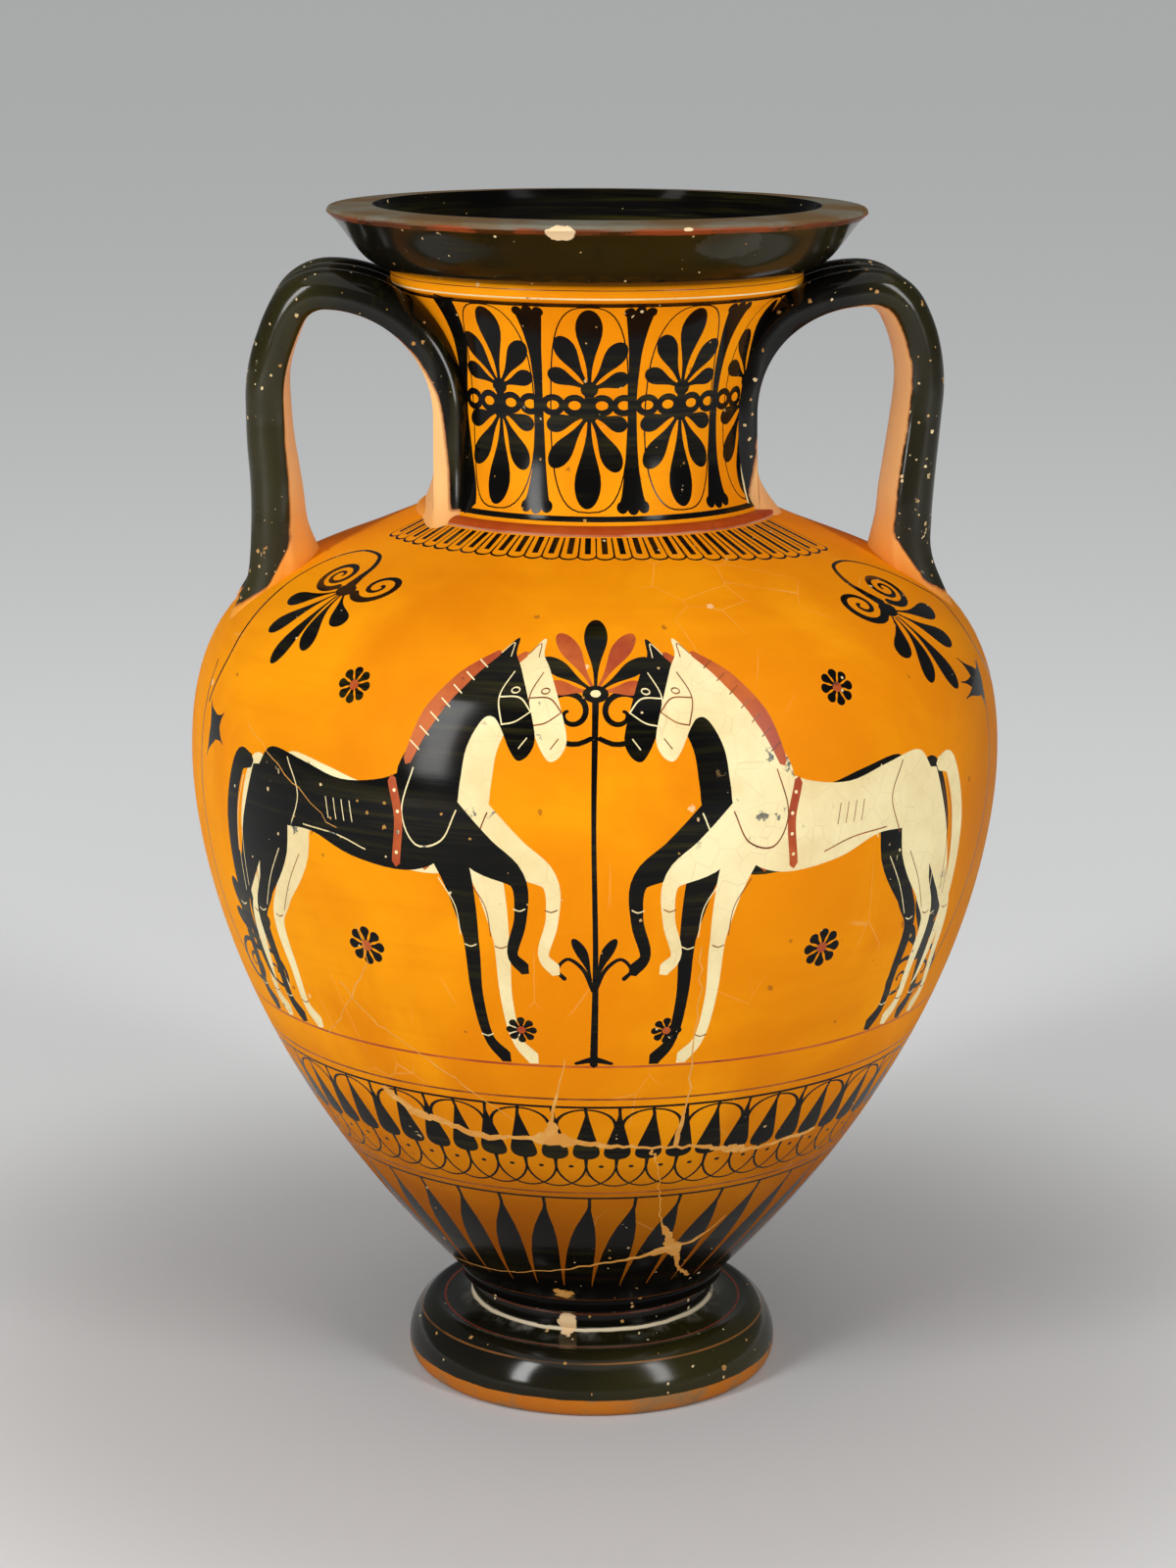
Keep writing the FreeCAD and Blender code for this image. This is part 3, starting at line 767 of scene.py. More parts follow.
def wavy(f, value, amount, scale=60):
    """A height or radius with the small shifts of an unsteady hand, in millimetres."""
    wave = f.maths("SUBTRACT", f.noise(scale, 4, 0.6), 0.5)
    return f.plus(value, f.times(wave, 2 * amount * MM))


def edge_at(f, value, low, high, wave, scale=60):
    """How far a height or radius is past an edge painted by hand, from nought at low to one at high."""
    return f.ease(wavy(f, value, wave, scale), low * MM, high * MM)


def line_at(f, value, middle, width, wave, scale=60, blur=0.12):
    """A painted line where a height or radius has one value, in millimetres."""
    off = f.maths("ABSOLUTE", f.maths("SUBTRACT", wavy(f, value, wave, scale), middle * MM))
    return f.ease(off, (width / 2 + blur) * MM, (width / 2 - blur) * MM)


def reach(f):
    """Distance from the vase's axis."""
    return f.vector("LENGTH", f.vector("MULTIPLY", f.place, (1, 1, 0))[0])["Value"]


# A chip over the joint of foot and foot ring: its place and how far it goes across and up
JOINT_CHIP = (-10.8, -44.6, FOOT_TOP + 2.2, 3.9, 4.2)


def foot_material():
    size, c = Sizes("amphora_foot"), Tones()
    f = Finish("Foot slip and clay")
    dirt = f.ease(f.noise(38, 5, 0.65), 0.46, 0.6, 0, 0.7)
    # Painted shade: the clay band low on the foot is darkened all over, apart from the patches of dirt
    clay = f.stained(dirt, f.stained(0.75, clay_coat(f, low=False), c.foot_clay), c.dirt)
    slip = slip_coat(f, 0.6, f.ease(f.x, -0.05, 0.06, 0.25, 0.8))
    radius = reach(f)
    coat = f.layered(edge_at(f, f.z, size.widest - 0.15, size.widest + 0.15, 0.7), clay, slip)
    above = f.ease(f.z, (FOOT_TOP - 6) * MM, (FOOT_TOP - 5.6) * MM)
    turned = f.times(line_at(f, radius, FOOT_RADIUS - 4.3, 0.5, 0.15), above)
    turned = f.times(turned, f.ease(f.noise(30, 3), 0.35, 0.65, 0.15, 0.7))
    coat = f.layered(turned, coat, (c.turned_line, 0.5, 0.3))
    red_line = f.times(line_at(f, radius, FOOT_RADIUS - 13.2, 0.7, 0.12), 0.9)
    coat = f.layered(f.times(red_line, above), coat, (c.red, 0.4, 0.3))
    dust = f.times(f.ease(radius, (size.joint_radius + 7) * MM, (size.joint_radius + 1) * MM),
                   f.ease(f.noise(90, 5, 0.7), 0.45, 0.8, 0, 0.35))
    joint = f.times(edge_at(f, radius, size.joint_radius + 1.3, size.joint_radius + 0.7, 0.7),
                    f.ease(f.noise(60, 4, 0.6), 0.3, 0.44))
    coat = f.layered(joint, f.stained(dust, coat, c.dust), (c.joint_fill, 0.7, 0.6))
    for spot in (JOINT_CHIP, (10.4, -FOOT_RADIUS + 15, FOOT_TOP - 1.4, 1.4, 1.2)):
        coat = f.layered(f.spot(*spot), coat, (c.deep_chip, 0.7, -0.5))
    return f.close(coat, 0.1, specular=0.26)


def mouth_material():
    size, c = Sizes("amphora_mouth"), Tones()
    f = Finish("Mouth slip")
    lip, lip_inside = RIM - size.lip_edge, MOUTH_RADIUS - size.lip_width
    slip = slip_coat(f, 0.5, f.ease(f.x, -0.08, 0.03, 0.2, 0.55))
    # The lip's top: worn slip, matte, lightened as a painted reflection of the light from above
    top = (f.blend(f.ease(f.noise(24, 4, 0.6), 0.4, 0.62), c.rim, c.rim_brown), 0.95, 0.5)
    coat = f.layered(edge_at(f, f.z, lip - 0.3, lip + 0.25, 0.35, 90), slip, top)
    edge = f.times(line_at(f, f.z, lip - 0.4, 2.0, 0.5, 90, blur=0.3),
                   f.ease(f.noise(70, 4, 0.6), 0.36, 0.52, 0.15, 0.95))
    edge_tone = f.blend(f.ease(f.noise(16, 3), 0.4, 0.6), c.edge_dark, c.edge_red)
    coat = f.layered(edge, coat, (edge_tone, 0.4, 0.4))
    coat = f.layered(edge_at(f, reach(f), lip_inside + 0.6, lip_inside + 0.2, 0.5), coat, slip_coat(f, 0.4))
    for spot in ((-15.3, -MOUTH_RADIUS + 1.3, RIM - 3.4, 5.0, 2.9), (26, -MOUTH_RADIUS + 3.4, RIM - 2.0, 1.6, 0.7)):
        coat = f.layered(f.spot(*spot, ragged=0.4), coat, (c.lip_chip, 0.7, -0.8))
    smear = f.times(f.spot(42, -MOUTH_RADIUS + 12, RIM - 8, 13, 5, 0.3), f.ease(f.noise(60, 3), 0.3, 0.7, 0.3, 0.6))
    return f.close(f.stained(smear, coat, c.smear), 0.06, specular=0.13)


def ring_material():
    c = Tones()
    f = Finish("Foot joint clay")
    low = f.times(edge_at(f, f.z, FOOT_TOP + 0.8, FOOT_TOP + 0.2, 0.5), f.ease(f.noise(60, 3), 0.45, 0.56))
    high = f.times(edge_at(f, f.z, BODY_FOOT - 0.9, BODY_FOOT - 0.4, 0.3), 0.8)
    coat = f.layered(low, slip_coat(f, 1.0, 0.1), (c.ring_fill, 0.7, 0.5))
    coat = f.layered(high, coat, (c.thin_slip, 0.4, 0.3))
    coat = f.layered(f.spot(*JOINT_CHIP), coat, (c.deep_chip, 0.7, -0.5))
    return f.close(coat, 0.1, specular=0.2)


def collar_material():
    """Dark red slip, with filling low on it and the left handle's pale root at its side."""
    c = Tones()
    f = Finish("Collar red")
    low = f.times(edge_at(f, f.z, SHOULDER + 0.9, SHOULDER + 0.4, 0.4), f.ease(f.noise(40, 3), 0.35, 0.55, 0.3, 1))
    coat = f.layered(low, red_coat(f), (c.collar_fill, 0.6, 0.5))
    root = f.blend(0.5, clay_coat(f, low=False)[0], c.root_pale)
    coat = f.layered(f.ease(f.x, -0.0525, -0.054), f.stained(0.6, coat, c.collar_red), (root, 0.55, 0.5))
    return f.close(coat, 0.08, specular=0.05)


def handle_material(name, chips, olive):
    """Black over the rolls, up to where the piece's own attribute says that the brush stopped."""
    c = Tones()
    f = Finish(name)
    outer = f.ease(f.maths("ABSOLUTE", f.x), 0.08, 0.102, 0.1, 1.0)
    slip = slip_coat(f, chips, f.times(outer, olive), upright=True)
    clay = f.stained(f.ease(f.z, 0.29, 0.33, 0.1, 0.65), clay_coat(f, low=False), c.handle_clay)
    covered = f.node("ShaderNodeAttribute", attribute_name="slip").outputs["Fac"]
    covered = wavy(f, covered, 0.5 * chips / MM, 70 + 30 * chips)
    coat = f.layered(f.ease(covered, -0.25, 0.25), clay, slip)
    halo = f.times(f.ease(covered, -1.1, -0.2), f.ease(covered, 0.5, -0.1))
    tone, rough, height = f.stained(f.times(halo, 0.6), coat, c.slip_halo)
    return f.close((tone, f.between(f.ease(f.z, 0.318, 0.306), rough, 0.55), height), 0.06, specular=0.24)


# Making meshes

# Steps round a plain turned piece, and the distance in metres at which its points are one
SPIN_STEPS = 192
SPIN_MERGE = 1e-6


def choose(*objects):
    for other in bpy.context.selected_objects:
        other.select_set(False)
    for item in objects:
        item.select_set(True)
    bpy.context.view_layer.objects.active = objects[0]


def turned_piece(name, profile, materials):
    """Spin a closed profile round the vase's axis. The profile goes up the outside. Faces that look at the
    axis take the second material, if there is one."""
    choose_none()
    bpy.ops.mesh.primitive_plane_add(size=MM, enter_editmode=False)
    piece = bpy.context.object
    piece.name = name
    mesh = piece.data
    bm = bmesh.new()
    verts = [bm.verts.new((r * MM, 0, z * MM)) for r, z in profile]
    for a, b in zip(verts, verts[1:]):
        bm.edges.new((a, b))
    bm.to_mesh(mesh)
    bm.free()
    bpy.ops.object.mode_set(mode="EDIT")
    bpy.ops.mesh.select_all(action="SELECT")
    bpy.ops.mesh.spin(steps=SPIN_STEPS, angle=FULL_TURN, center=(0, 0, 0), axis=(0, 0, 1))
    bpy.ops.mesh.select_all(action="SELECT")
    bpy.ops.mesh.remove_doubles(threshold=SPIN_MERGE)
    bpy.ops.mesh.normals_make_consistent(inside=False)
    bpy.ops.object.mode_set(mode="OBJECT")
    place_at_origin(piece)
    for material in materials:
        mesh.materials.append(material)
    if len(materials) > 1:
        for face in mesh.polygons:
            middle = Vector(face.center[:2])
            if middle.dot(face.normal[:2]) < -0.1 * middle.length:
                face.material_index = 1
    smooth(piece, TURNED_SMOOTH)
    return piece


def choose_none():
    if bpy.context.object and bpy.context.object.mode != "OBJECT":
        bpy.ops.object.mode_set(mode="OBJECT")
    bpy.ops.object.select_all(action="DESELECT")


def place_at_origin(piece):
    choose(piece)
    bpy.ops.object.transform_apply(location=True, rotation=True, scale=True)


def smooth(piece, degrees):
    choose(piece)
    bpy.ops.object.shade_smooth_by_angle(angle=math.radians(degrees))


def add_piece(piece, node):
    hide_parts(node)
    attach(piece, "root")


# The painting

# The zones of the body's painting by their heights in millimetres, and its lines with their widths and coats
BASE_BLACK = 46
RAY_SHAFT = 88
CHAIN_LOW, CHAIN_HIGH = 94.3, 132
FRIEZE_FLOOR = 148.5
PALMETTE_LOW = 174
TONGUE_TIPS = 308.7
BODY_LINES = ((91.8, 1.0, BLACK), (CHAIN_LOW, 0.8, BROWN), (CHAIN_HIGH, 1.0, BLACK), (135.3, 0.8, BROWN),
              (FRIEZE_FLOOR, 0.9, RED), (37.6, 0.4, BROWN))

# A ray: heights, and half its width as shares of the step from ray to ray
RAY = ((43, 0.5), (48, 0.48), (53, 0.455), (57.4, 0.432), (64.6, 0.395), (71.8, 0.325), (77.5, 0.235), (83.2, 0.11),
       (86, 0.052), (RAY_SHAFT, 0.038), (91.9, 0.038))

# The right half of a bud
BUD = ((0.45, 23), (0.8, 20.5), (1.6, 17), (2.7, 12.5), (3.8, 8), (4.5, 4.6), (4.3, 2.2), (2.8, 0.6))

# The angles of the first ray and the first bud and, next, of the front and the back, in degrees
FIRST_RAY, FIRST_BUD = -0.7, -1.3
HALF_TURNS = (0, 180)

# Where the random draws for the body and for the neck start
BODY_SEED, NECK_SEED = 5, 8


def ray_lean(height):
    """How far the rays lean to one side towards the base."""
    return math.radians(4.4) * min(max((RAY_SHAFT - height) / (RAY_SHAFT - BASE_BLACK), 0), 1)


def paint_body(painting, size, random_source):
    """Everything on the body but the frieze and the cracks."""
    s = painting.up_to
    painting.band(BLACK, 0, s(BASE_BLACK))
    painting.band(BROWN, 0, 0.5)
    pitch = FULL_TURN / size.group.rays
    for k in range(size.group.rays):
        middle = math.radians(FIRST_RAY) + k * pitch
        wobble = random_source.uniform(-0.012, 0.012)
        right, left = [[(middle - ray_lean(height) + pitch * (side * half + wobble * (half > 0.1)), s(height))
                        for height, half in RAY] for side in (1, -1)]
        painting.laid(BLACK, right + left[::-1])
    for height, width, slot in BODY_LINES:
        painting.band(slot, s(height) - width / 2, s(height) + width / 2)
    paint_buds(painting, size, random_source)
    paint_tongues(painting, size, random_source)
    for paint, theta, length_up, mirror in (
            (paint_side, -51.9, 310.5, False), (paint_side, 57.9, 297.8, True),
            (paint_low_palmette, -58.5, s(PALMETTE_LOW), False), (paint_low_palmette, 55, s(PALMETTE_LOW), True)):
        for half_turn in HALF_TURNS:
            paint(painting, theta + half_turn, length_up, mirror)


def paint_buds(painting, size, random_source):
    """The chain of buds, its arches above and its loops below."""
    count = size.group.buds
    pitch = 360 / count
    low, high = painting.up_to(CHAIN_LOW) + 0.4, painting.up_to(CHAIN_HIGH) - 0.5
    base = low + 17.7
    top = high - base
    half = math.radians(pitch) * float(painting.radius(base + 8))
    spring = 15.5
    arch = [(-half * 0.94 * math.cos(a), spring + (top - spring - 0.6) * math.sin(a) ** 0.8)
            for a in np.linspace(0, math.pi, 17)]
    loop = [(half * 0.97 * math.cos(a), -1.2 + 13.0 * math.sin(a)) for a in np.linspace(math.pi, FULL_TURN, 17)]
    for k in range(count):
        theta = FIRST_BUD + k * pitch
        lean = random_source.uniform(-0.4, 0.4)
        bud = smooth_line([(x + lean * y / 20, y) for x, y in BUD] + [(0, 0)]
                          + [(-x + lean * y / 20, y) for x, y in reversed(BUD)], 3)
        painting.put(BLACK, bud, theta, base)
        painting.put(BLACK, stroke([(lean, 21), (0, top)], [0.9, 1.2], 2), theta, base)
        painting.put(BLACK, stroke([(0, 1), (0, -2.4)], [1.8, 0.9], 2), theta, base)
        if k % 2 == 0:
            painting.put(BLACK, stroke(arch, [1.4, 1.2, 0.85, 0.7, 0.8, 1.1, 1.3], 1), theta, base)
        painting.put(BLACK, stroke(loop, [0.95, 0.75, 0.75, 0.95], 1), theta + pitch, base)
        painting.put(BLACK, oval((0, 0), 1.9, 1.5, 8), theta + pitch / 2, base - 3.6)


def spoke(painting, middle, lean, thickness, top, bottom):
    """An upright stroke of one thickness, leaning a little at its lower end. Middle and lean are in radians."""
    half_top, half_bottom = [thickness / 2 / painting.radius(at) for at in (top, bottom)]
    painting.laid(BLACK, [(middle - half_top, top), (middle + half_top, top),
                          (middle + lean + half_bottom, bottom), (middle + lean - half_bottom, bottom)])


def paint_tongues(painting, size, random_source):
    """Tongues on the shoulder, front and back, which get longer to the right."""
    step = math.degrees(size.group.tongue_step)
    edge = math.radians(step) / 2
    low, high = painting.up_to(TONGUE_TIPS), painting.lengths[-1]
    for half_turn in HALF_TURNS:
        for k in range(-15, 15):
            theta = (k + 0.5) * step + half_turn
            share = min(max(((k + 0.5) * step - 8) / 60, 0), 1)
            inner, outer = high - 0.6, low + 2.0 - 10 * share * share * (3 - 2 * share)
            middle = math.radians(theta)
            lean = random_source.uniform(-0.004, 0.004)
            spoke(painting, middle, lean, 2.0, inner, outer + 2.2)
            spoke(painting, middle + edge * 0.97, lean, 0.45, inner, outer + 0.8)
            spoke(painting, middle - edge * 0.97, lean, 0.45, inner, outer + 0.8)
            half = edge * float(painting.radius(outer))
            tip = [(half * math.cos(a), 2.2 * math.sin(a)) for a in np.linspace(math.pi, FULL_TURN, 8)]
            painting.put(BLACK, stroke(tip, [0.7, 1.1, 0.7], 1), theta, outer + 0.9)


# The ornament beside the left handle, and beside the right one as seen in a mirror (True)
SIDE_ORNAMENT = {
    False: {
        "tendril": ((-45, -57), (-38, -41), (-37, -30), (-37, -15), (-37, -3), (-34, 9), (-29, 16), (-21, 21),
                    (-10, 21), (-4, 15), (-2, 7), (-1, 2)),
        "heart": (0, -0.8), "spiral": ((-12.6, 5.6), (-5.4, 0.2)),
        "fronds": ((-23.2, -12.0), (-18.4, -25.4), (-5.8, -35.6), (7.4, -28.6), (14.8, -16.6)), "width": 7.2,
        "star": (-34.6, -63.8), "tips": ((-41.7, -56.6), (-28, -58.2), (-26.4, -68), (-41.1, -74.3)),
    },
    True: {
        "tendril": ((-63, -42), (-49, -29), (-45, -16), (-45, -7), (-37, 3), (-30, 13), (-22, 22), (-13, 27),
                    (-3, 26), (3, 17.5), (3, 10), (1, 3)),
        "heart": (1.6, -0.4), "spiral": ((-10.8, 8.6), (-3.4, 3.0)),
        "fronds": ((-26.6, -6.8), (-22.0, -19.9), (-11.6, -34.3), (5.1, -29.6), (14.1, -18.8)), "width": 7.8,
        "star": (-34.6, -37.4),
        "tips": ((-40.7, -30.2), (-21.1, -26.6), (-17.2, -34), (-17.8, -39.5), (-35.6, -45.6)),
    },
}


def paint_side(painting, theta, length_up, mirror):
    """Tendril, spirals, palmette and pointed bud beside a handle."""
    shapes = SIDE_ORNAMENT[mirror]
    heart, star = shapes["heart"], shapes["star"]

    def put(shape):
        painting.put(BLACK, shape, theta, length_up, mirror=mirror)

    put(stroke(shapes["tendril"], [1.1, 1.2, 1.4, 1.2, 1.1, 1.4, 2.4, 5.0], 6))
    put(oval(heart, 9, 7, 12))
    put(spiral(*shapes["spiral"], 1.0, 1.9, [3.2, 2.5, 1.8, 1.2], clockwise=True))
    put(spiral((12.0, 4.4), (4.8, -0.8), 0.9, 1.6, [3.4, 2.3, 1.7, 1.3]))
    for x, y in shapes["fronds"]:
        size = math.hypot(x, y)
        root = (x / size * 3.2 + heart[0], y / size * 3.2 - 1)
        put(frond(root, (x * 1.02, y * 1.02), shapes["width"], 0.04 * (1 if x < 0 else -1), 0.9, 0.78))
    for tip in shapes["tips"]:
        along = np.array(tip) - star
        put(frond(star + along * 1.08, star - along * 0.15, 7.4, 0, 0.5, 0.75))
    put(oval(star, 9.0, 7.5, 10))


def paint_low_palmette(painting, theta, length_up, mirror):
    """The palmette under a handle, with its spirals and its long tendril."""
    def put(shape):
        painting.put(BLACK, shape, theta, length_up, mirror=mirror)

    for x, y, width in ((-12, 12, 5.6), (-9.5, 24, 7.0), (0.5, 36, 8.2), (9.5, 27, 6.4), (13, 14, 5.2)):
        size = math.hypot(x, y)
        put(frond((x / size * 2.4, y / size * 2.4), (x, y), width, 0.04 * (-1 if x < 0 else 1), 1.0))
    put(oval((0, 0), 5.0, 5.0, 12))
    put(spiral((-9.0, -8.6), (-2.0, -1.6), 1.0, 1.6, [2.0, 1.8, 1.4, 1.0]))
    put(spiral((7.4, -8.0), (1.6, -1.6), 0.8, 1.4, [1.8, 1.6, 1.2, 0.9], clockwise=True))
    outer = ((-35, 28), (-43, 60), (-45, 96)) if mirror else ((-29, 28), (-32, 60), (-32, 96))
    put(stroke(((-4, -22), (-16, -10), (-25, 6), *outer), [0.6, 0.9, 0.9, 0.9], 6))


# The heights on the neck in millimetres: its lines, with how far each goes down and up, its two rows of
# palmettes and the chain between them, the angle of the second palmette, and the strips beside the handles,
# with their angles and widths
# The cream line at 394.4 is a painted highlight along the lower edge of the raised band
NECK_LINES = ((319.7, 1.0, 1.0, BLACK), (392.2, 1.1, 1.2, BLACK), (394.4, 0.3, 0.3, CREAM), (397.2, 0.15, 0.15, BROWN))
NECK_LOW, NECK_HIGH = 321, 392
PALMETTES_UP, CHAIN, PALMETTES_DOWN = 363, 357.5, 354.6
FIRST_PALMETTE = -2.5
NECK_STRIPS = (
    (BLACK, -52, ((1.6, 391.5), (0.6, 378), (-2.2, 364), (-3.4, 352), (-1.4, 338), (1.0, 328), (2.4, 321.5)),
     (10.5, 7, 4.4, 4, 5.2, 7.5, 8.6)),
    (BLACK, 69, ((-3, 388), (-1.5, 372), (1, 358), (0.8, 345), (-0.5, 332), (-2, 321.5)), (2, 3, 5, 5.4, 6, 6.8)),
    (CREAM, -56.8, ((2.6, 320), (1.8, 327), (0.9, 334), (0.4, 342), (0, 350), (0.2, 362)),
     (2.6, 1.6, 2.2, 1.2, 2, 0.8)),
    (CREAM, 66, ((-1.2, 320.5), (-0.4, 331), (0.3, 340)), (1.0, 1.8, 0.5)),
)

# The fronds of the upper and the lower palmettes: turn, length and width
NECK_FRONDS = (
    ((0, 30, 9.2), (30, 21.8, 7.2), (-35, 20.4, 7.0), (65, 15.4, 5.8), (-70, 14, 5.6)),
    ((180, 32, 9.0), (146, 22.3, 7.2), (-152, 21.8, 7.0), (107, 15.2, 6.0), (-111, 13.5, 5.6)),
)


def paint_neck(painting, size, random_source):
    """Two rows of palmettes back to back, a chain between them and a waisted bar between each pair."""
    s = painting.up_to
    for height, below, above, slot in NECK_LINES:
        painting.band(slot, s(height) - below, s(height) + above)
    step = math.degrees(size.group.palmette_step)
    chain = s(CHAIN)
    frame_up, frame_middle = s(NECK_HIGH) - s(NECK_LOW) - 1.2, (s(NECK_HIGH) + s(NECK_LOW)) / 2
    for half_turn in HALF_TURNS:
        for k in (-1, 0, 1, 2):
            theta = FIRST_PALMETTE + k * step + 1.8 * (k == 2) + half_turn
            neck_palmette(painting, theta, s(PALMETTES_UP), s(PALMETTES_DOWN), random_source)
            painting.put(BLACK, ring(26.8, frame_up, 0.5, 44, 2.9), theta, frame_middle)
        for theta in (-20.6, 12.7, 46.8):
            neck_bar(painting, theta + half_turn, s(NECK_LOW - 0.4), s(NECK_HIGH))
        for k in (-1, 0, 1, 2):
            for offset in (-13.0, -5.2, 4.4, 12.2):
                if -50 < k * step + offset < 70:
                    theta = FIRST_PALMETTE + k * step + offset + half_turn
                    painting.put(BLACK, ring(8.6, 7.5, 2.2, 18), theta, chain)
        for slot, theta, places, widths in NECK_STRIPS:
            strip = stroke([(x, s(height) - chain) for x, height in places], widths, 5)
            painting.put(slot, strip, theta + half_turn, chain)


def ring(across, up, width, points, power=2.0):
    """A closed brush line round an oval, as a band slit at one place."""
    outer = oval((0, 0), across, up, points, power)
    inner = oval((0, 0), across - 2 * width, up - 2 * width, points, power)
    return np.vstack([outer, outer[:1], inner[:1], inner[::-1]])


def neck_palmette(painting, theta, upper, lower, random_source):
    """A palmette up and one down, tied by their stem."""
    def put(shape, at, turn=0.0):
        painting.put(BLACK, shape, theta, at, turn)

    for at, fronds in zip((upper, lower), NECK_FRONDS):
        for turn, size, width in fronds:
            put(frond((0, 1.5), (0, size), width, 0.0, 1.3, 0.72), at, turn + random_source.uniform(-2, 2))
    put(oval((0, 0), 6.0, 5.6, 12), upper)
    put(oval((0, 0), 6.4, 5.8, 12), lower)
    put(stroke([(0, lower - upper), (0, 0)], [3.2], 2), upper)


def neck_bar(painting, theta, low, high):
    """A bar with three-lobed ends and a narrow waist."""
    tall = high - low
    half = [(4.7, 0.03), (4.5, 0.06), (3.7, 0.1), (2.6, 0.2), (2.0, 0.3), (1.6, 0.42), (1.45, 0.55), (1.8, 0.65),
            (2.3, 0.75), (3.4, 0.85), (4.4, 0.92), (4.9, 0.96)]
    right = smooth_line([(x, y * tall) for x, y in half], 3)
    painting.put(BLACK, np.vstack([right, (right * (-1, 1))[::-1]]), theta, low)
    for x in (-3.7, 0, 3.7):
        painting.put(BLACK, oval((x, 3.0 - (x == 0) * 0.5), 4.0, 4.4, 12), theta, low)
        painting.put(BLACK, oval((x, tall - 3.0 + (x == 0) * 0.5), 3.9, 4.2, 12), theta, low)


# A horse for the frieze, in millimetres, hooves at height nought, facing right, and its scale across and up.
# A stroke is its points and its widths
HORSE_SCALE = (0.83, 1.14)
HORSE = {
    "tail": (((-54, 84), (-64, 82), (-71, 64), (-70, 40), (-62, 18), (-58, 12)), (4, 8, 9, 6.5, 3, 0.6)),
    "legs": (
        (((44, 76), (52, 60), (55, 42), (53.5, 24), (54, 9), (59, 2)), (17, 12, 6.4, 4.8, 4.2, 5.6)),
        (((46, 78), (62, 68), (76, 61), (76, 49), (71, 38), (75, 33)), (15, 12, 6.6, 4.8, 4.2, 4.8)),
        (((-40, 78), (-40, 62), (-48, 47), (-55, 36), (-51, 20), (-49, 8), (-43, 2)), (22, 19, 9, 6.8, 4.8, 4.2, 5.6)),
        (((-44, 78), (-54, 62), (-64, 46), (-72, 35), (-71, 20), (-71, 8), (-65, 2)), (20, 16, 8, 6.6, 4.8, 4.2, 5.6)),
    ),
    "torso": ((-48, 84), (-40, 90), (-20, 88), (0, 85), (20, 87), (36, 92), (48, 88), (52, 78), (46, 66), (30, 61),
              (5, 63), (-15, 68), (-32, 68), (-46, 70), (-53, 77)),
    "head": ((26, 88), (34, 102), (44, 116), (54, 126), (58, 133), (61, 127), (66, 122), (74, 112), (80, 102),
             (79, 97), (75, 95), (71, 98), (66, 104), (62, 107), (58, 106), (54, 98), (53, 88), (51, 80), (38, 74)),
    "mane": (((30, 93), (36, 106), (45, 118), (54, 127)), (3.5, 6.5, 6.0, 2.5)),
    "lines": (
        (((52, 80), (46, 71), (35, 69), (29, 78), (33, 91)), 0.55), (((-30, 88), (-23, 78), (-28, 67)), 0.5),
        (((-20, 69.5), (-2, 68.5), (12, 65.5)), 0.4), (((64, 121), (62, 113), (66, 105)), 0.5),
        (((66, 105), (71, 106), (76, 109)), 0.45), (((62, 113), (70, 113), (76, 109)), 0.45),
        (((74.5, 98.5), (77, 101.5)), 0.45), (((55, 127), (57.5, 131), (59.5, 126)), 0.4),
        (((-60, 79), (-66, 64), (-66, 42)), 0.35), (((-57, 78), (-62.5, 62), (-63, 44)), 0.35),
        (((44, 60), (50, 52), (51, 43)), 0.4), (((-36, 60), (-44, 50), (-50, 40)), 0.4),
    ),
    "girth": (((24, 87), (27.5, 76), (26, 63)), (3.6,)),
    "studs": ((25.4, 84), (27.2, 78), (27.3, 72), (26.4, 66)),
    "joints": ((54.5, 40), (76, 52), (-54, 38), (-71, 37), (53.8, 10), (-49.4, 9), (-71, 9)),
}


def horse(painting, theta, low, slot, lines, mirror):
    """One horse, standing on a length up the profile. Lines is the slot of its incised lines."""
    def put(shape, colour=slot):
        painting.put(colour, shape, theta, low, 0.0, HORSE_SCALE, mirror)

    for line, widths in (HORSE["tail"], *HORSE["legs"]):
        put(stroke(line, widths, 6))
    put(smooth_line(HORSE["torso"], 5, closed=True))
    put(smooth_line(HORSE["head"], 5, closed=True))
    put(stroke(*HORSE["mane"], 6), RED)
    for k in range(7):
        x, y = 33 + 3 * k, 96 + 30 * k / 7
        put(stroke(((x - 2.8, y + 2.6), (x + 1.6, y + 0.2)), [0.4], 2), lines)
    for line, width in HORSE["lines"]:
        put(stroke(line, [width], 6), lines)
    put(ring(3.6, 2.2, 0.45, 12) + (67.5, 115.2), lines)
    put(stroke(*HORSE["girth"], 5), RED)
    for stud in HORSE["studs"]:
        put(oval(stud, 1.5, 1.1, 8), CREAM)
    for x, y in HORSE["joints"]:
        put(stroke(((x - 2.4, y), (x, y - 0.6), (x + 2.4, y + 0.2)), [0.4], 2), lines)
    for rib in (-6, -2, 2, 6):
        put(stroke(((rib, 73), (rib - 1.5, 79)), [0.4], 2), lines)


def rosette(painting, theta, length_up, size):
    """Eight leaves round a red heart."""
    for k in range(8):
        painting.put(BLACK, frond((0, 1.7 * size), (0, 6.4 * size), 3.3 * size, 0, 1.2), theta, length_up, k * 45)
    painting.put(RED, oval((0, 0), 3.6 * size, 3.6 * size, 12), theta, length_up)


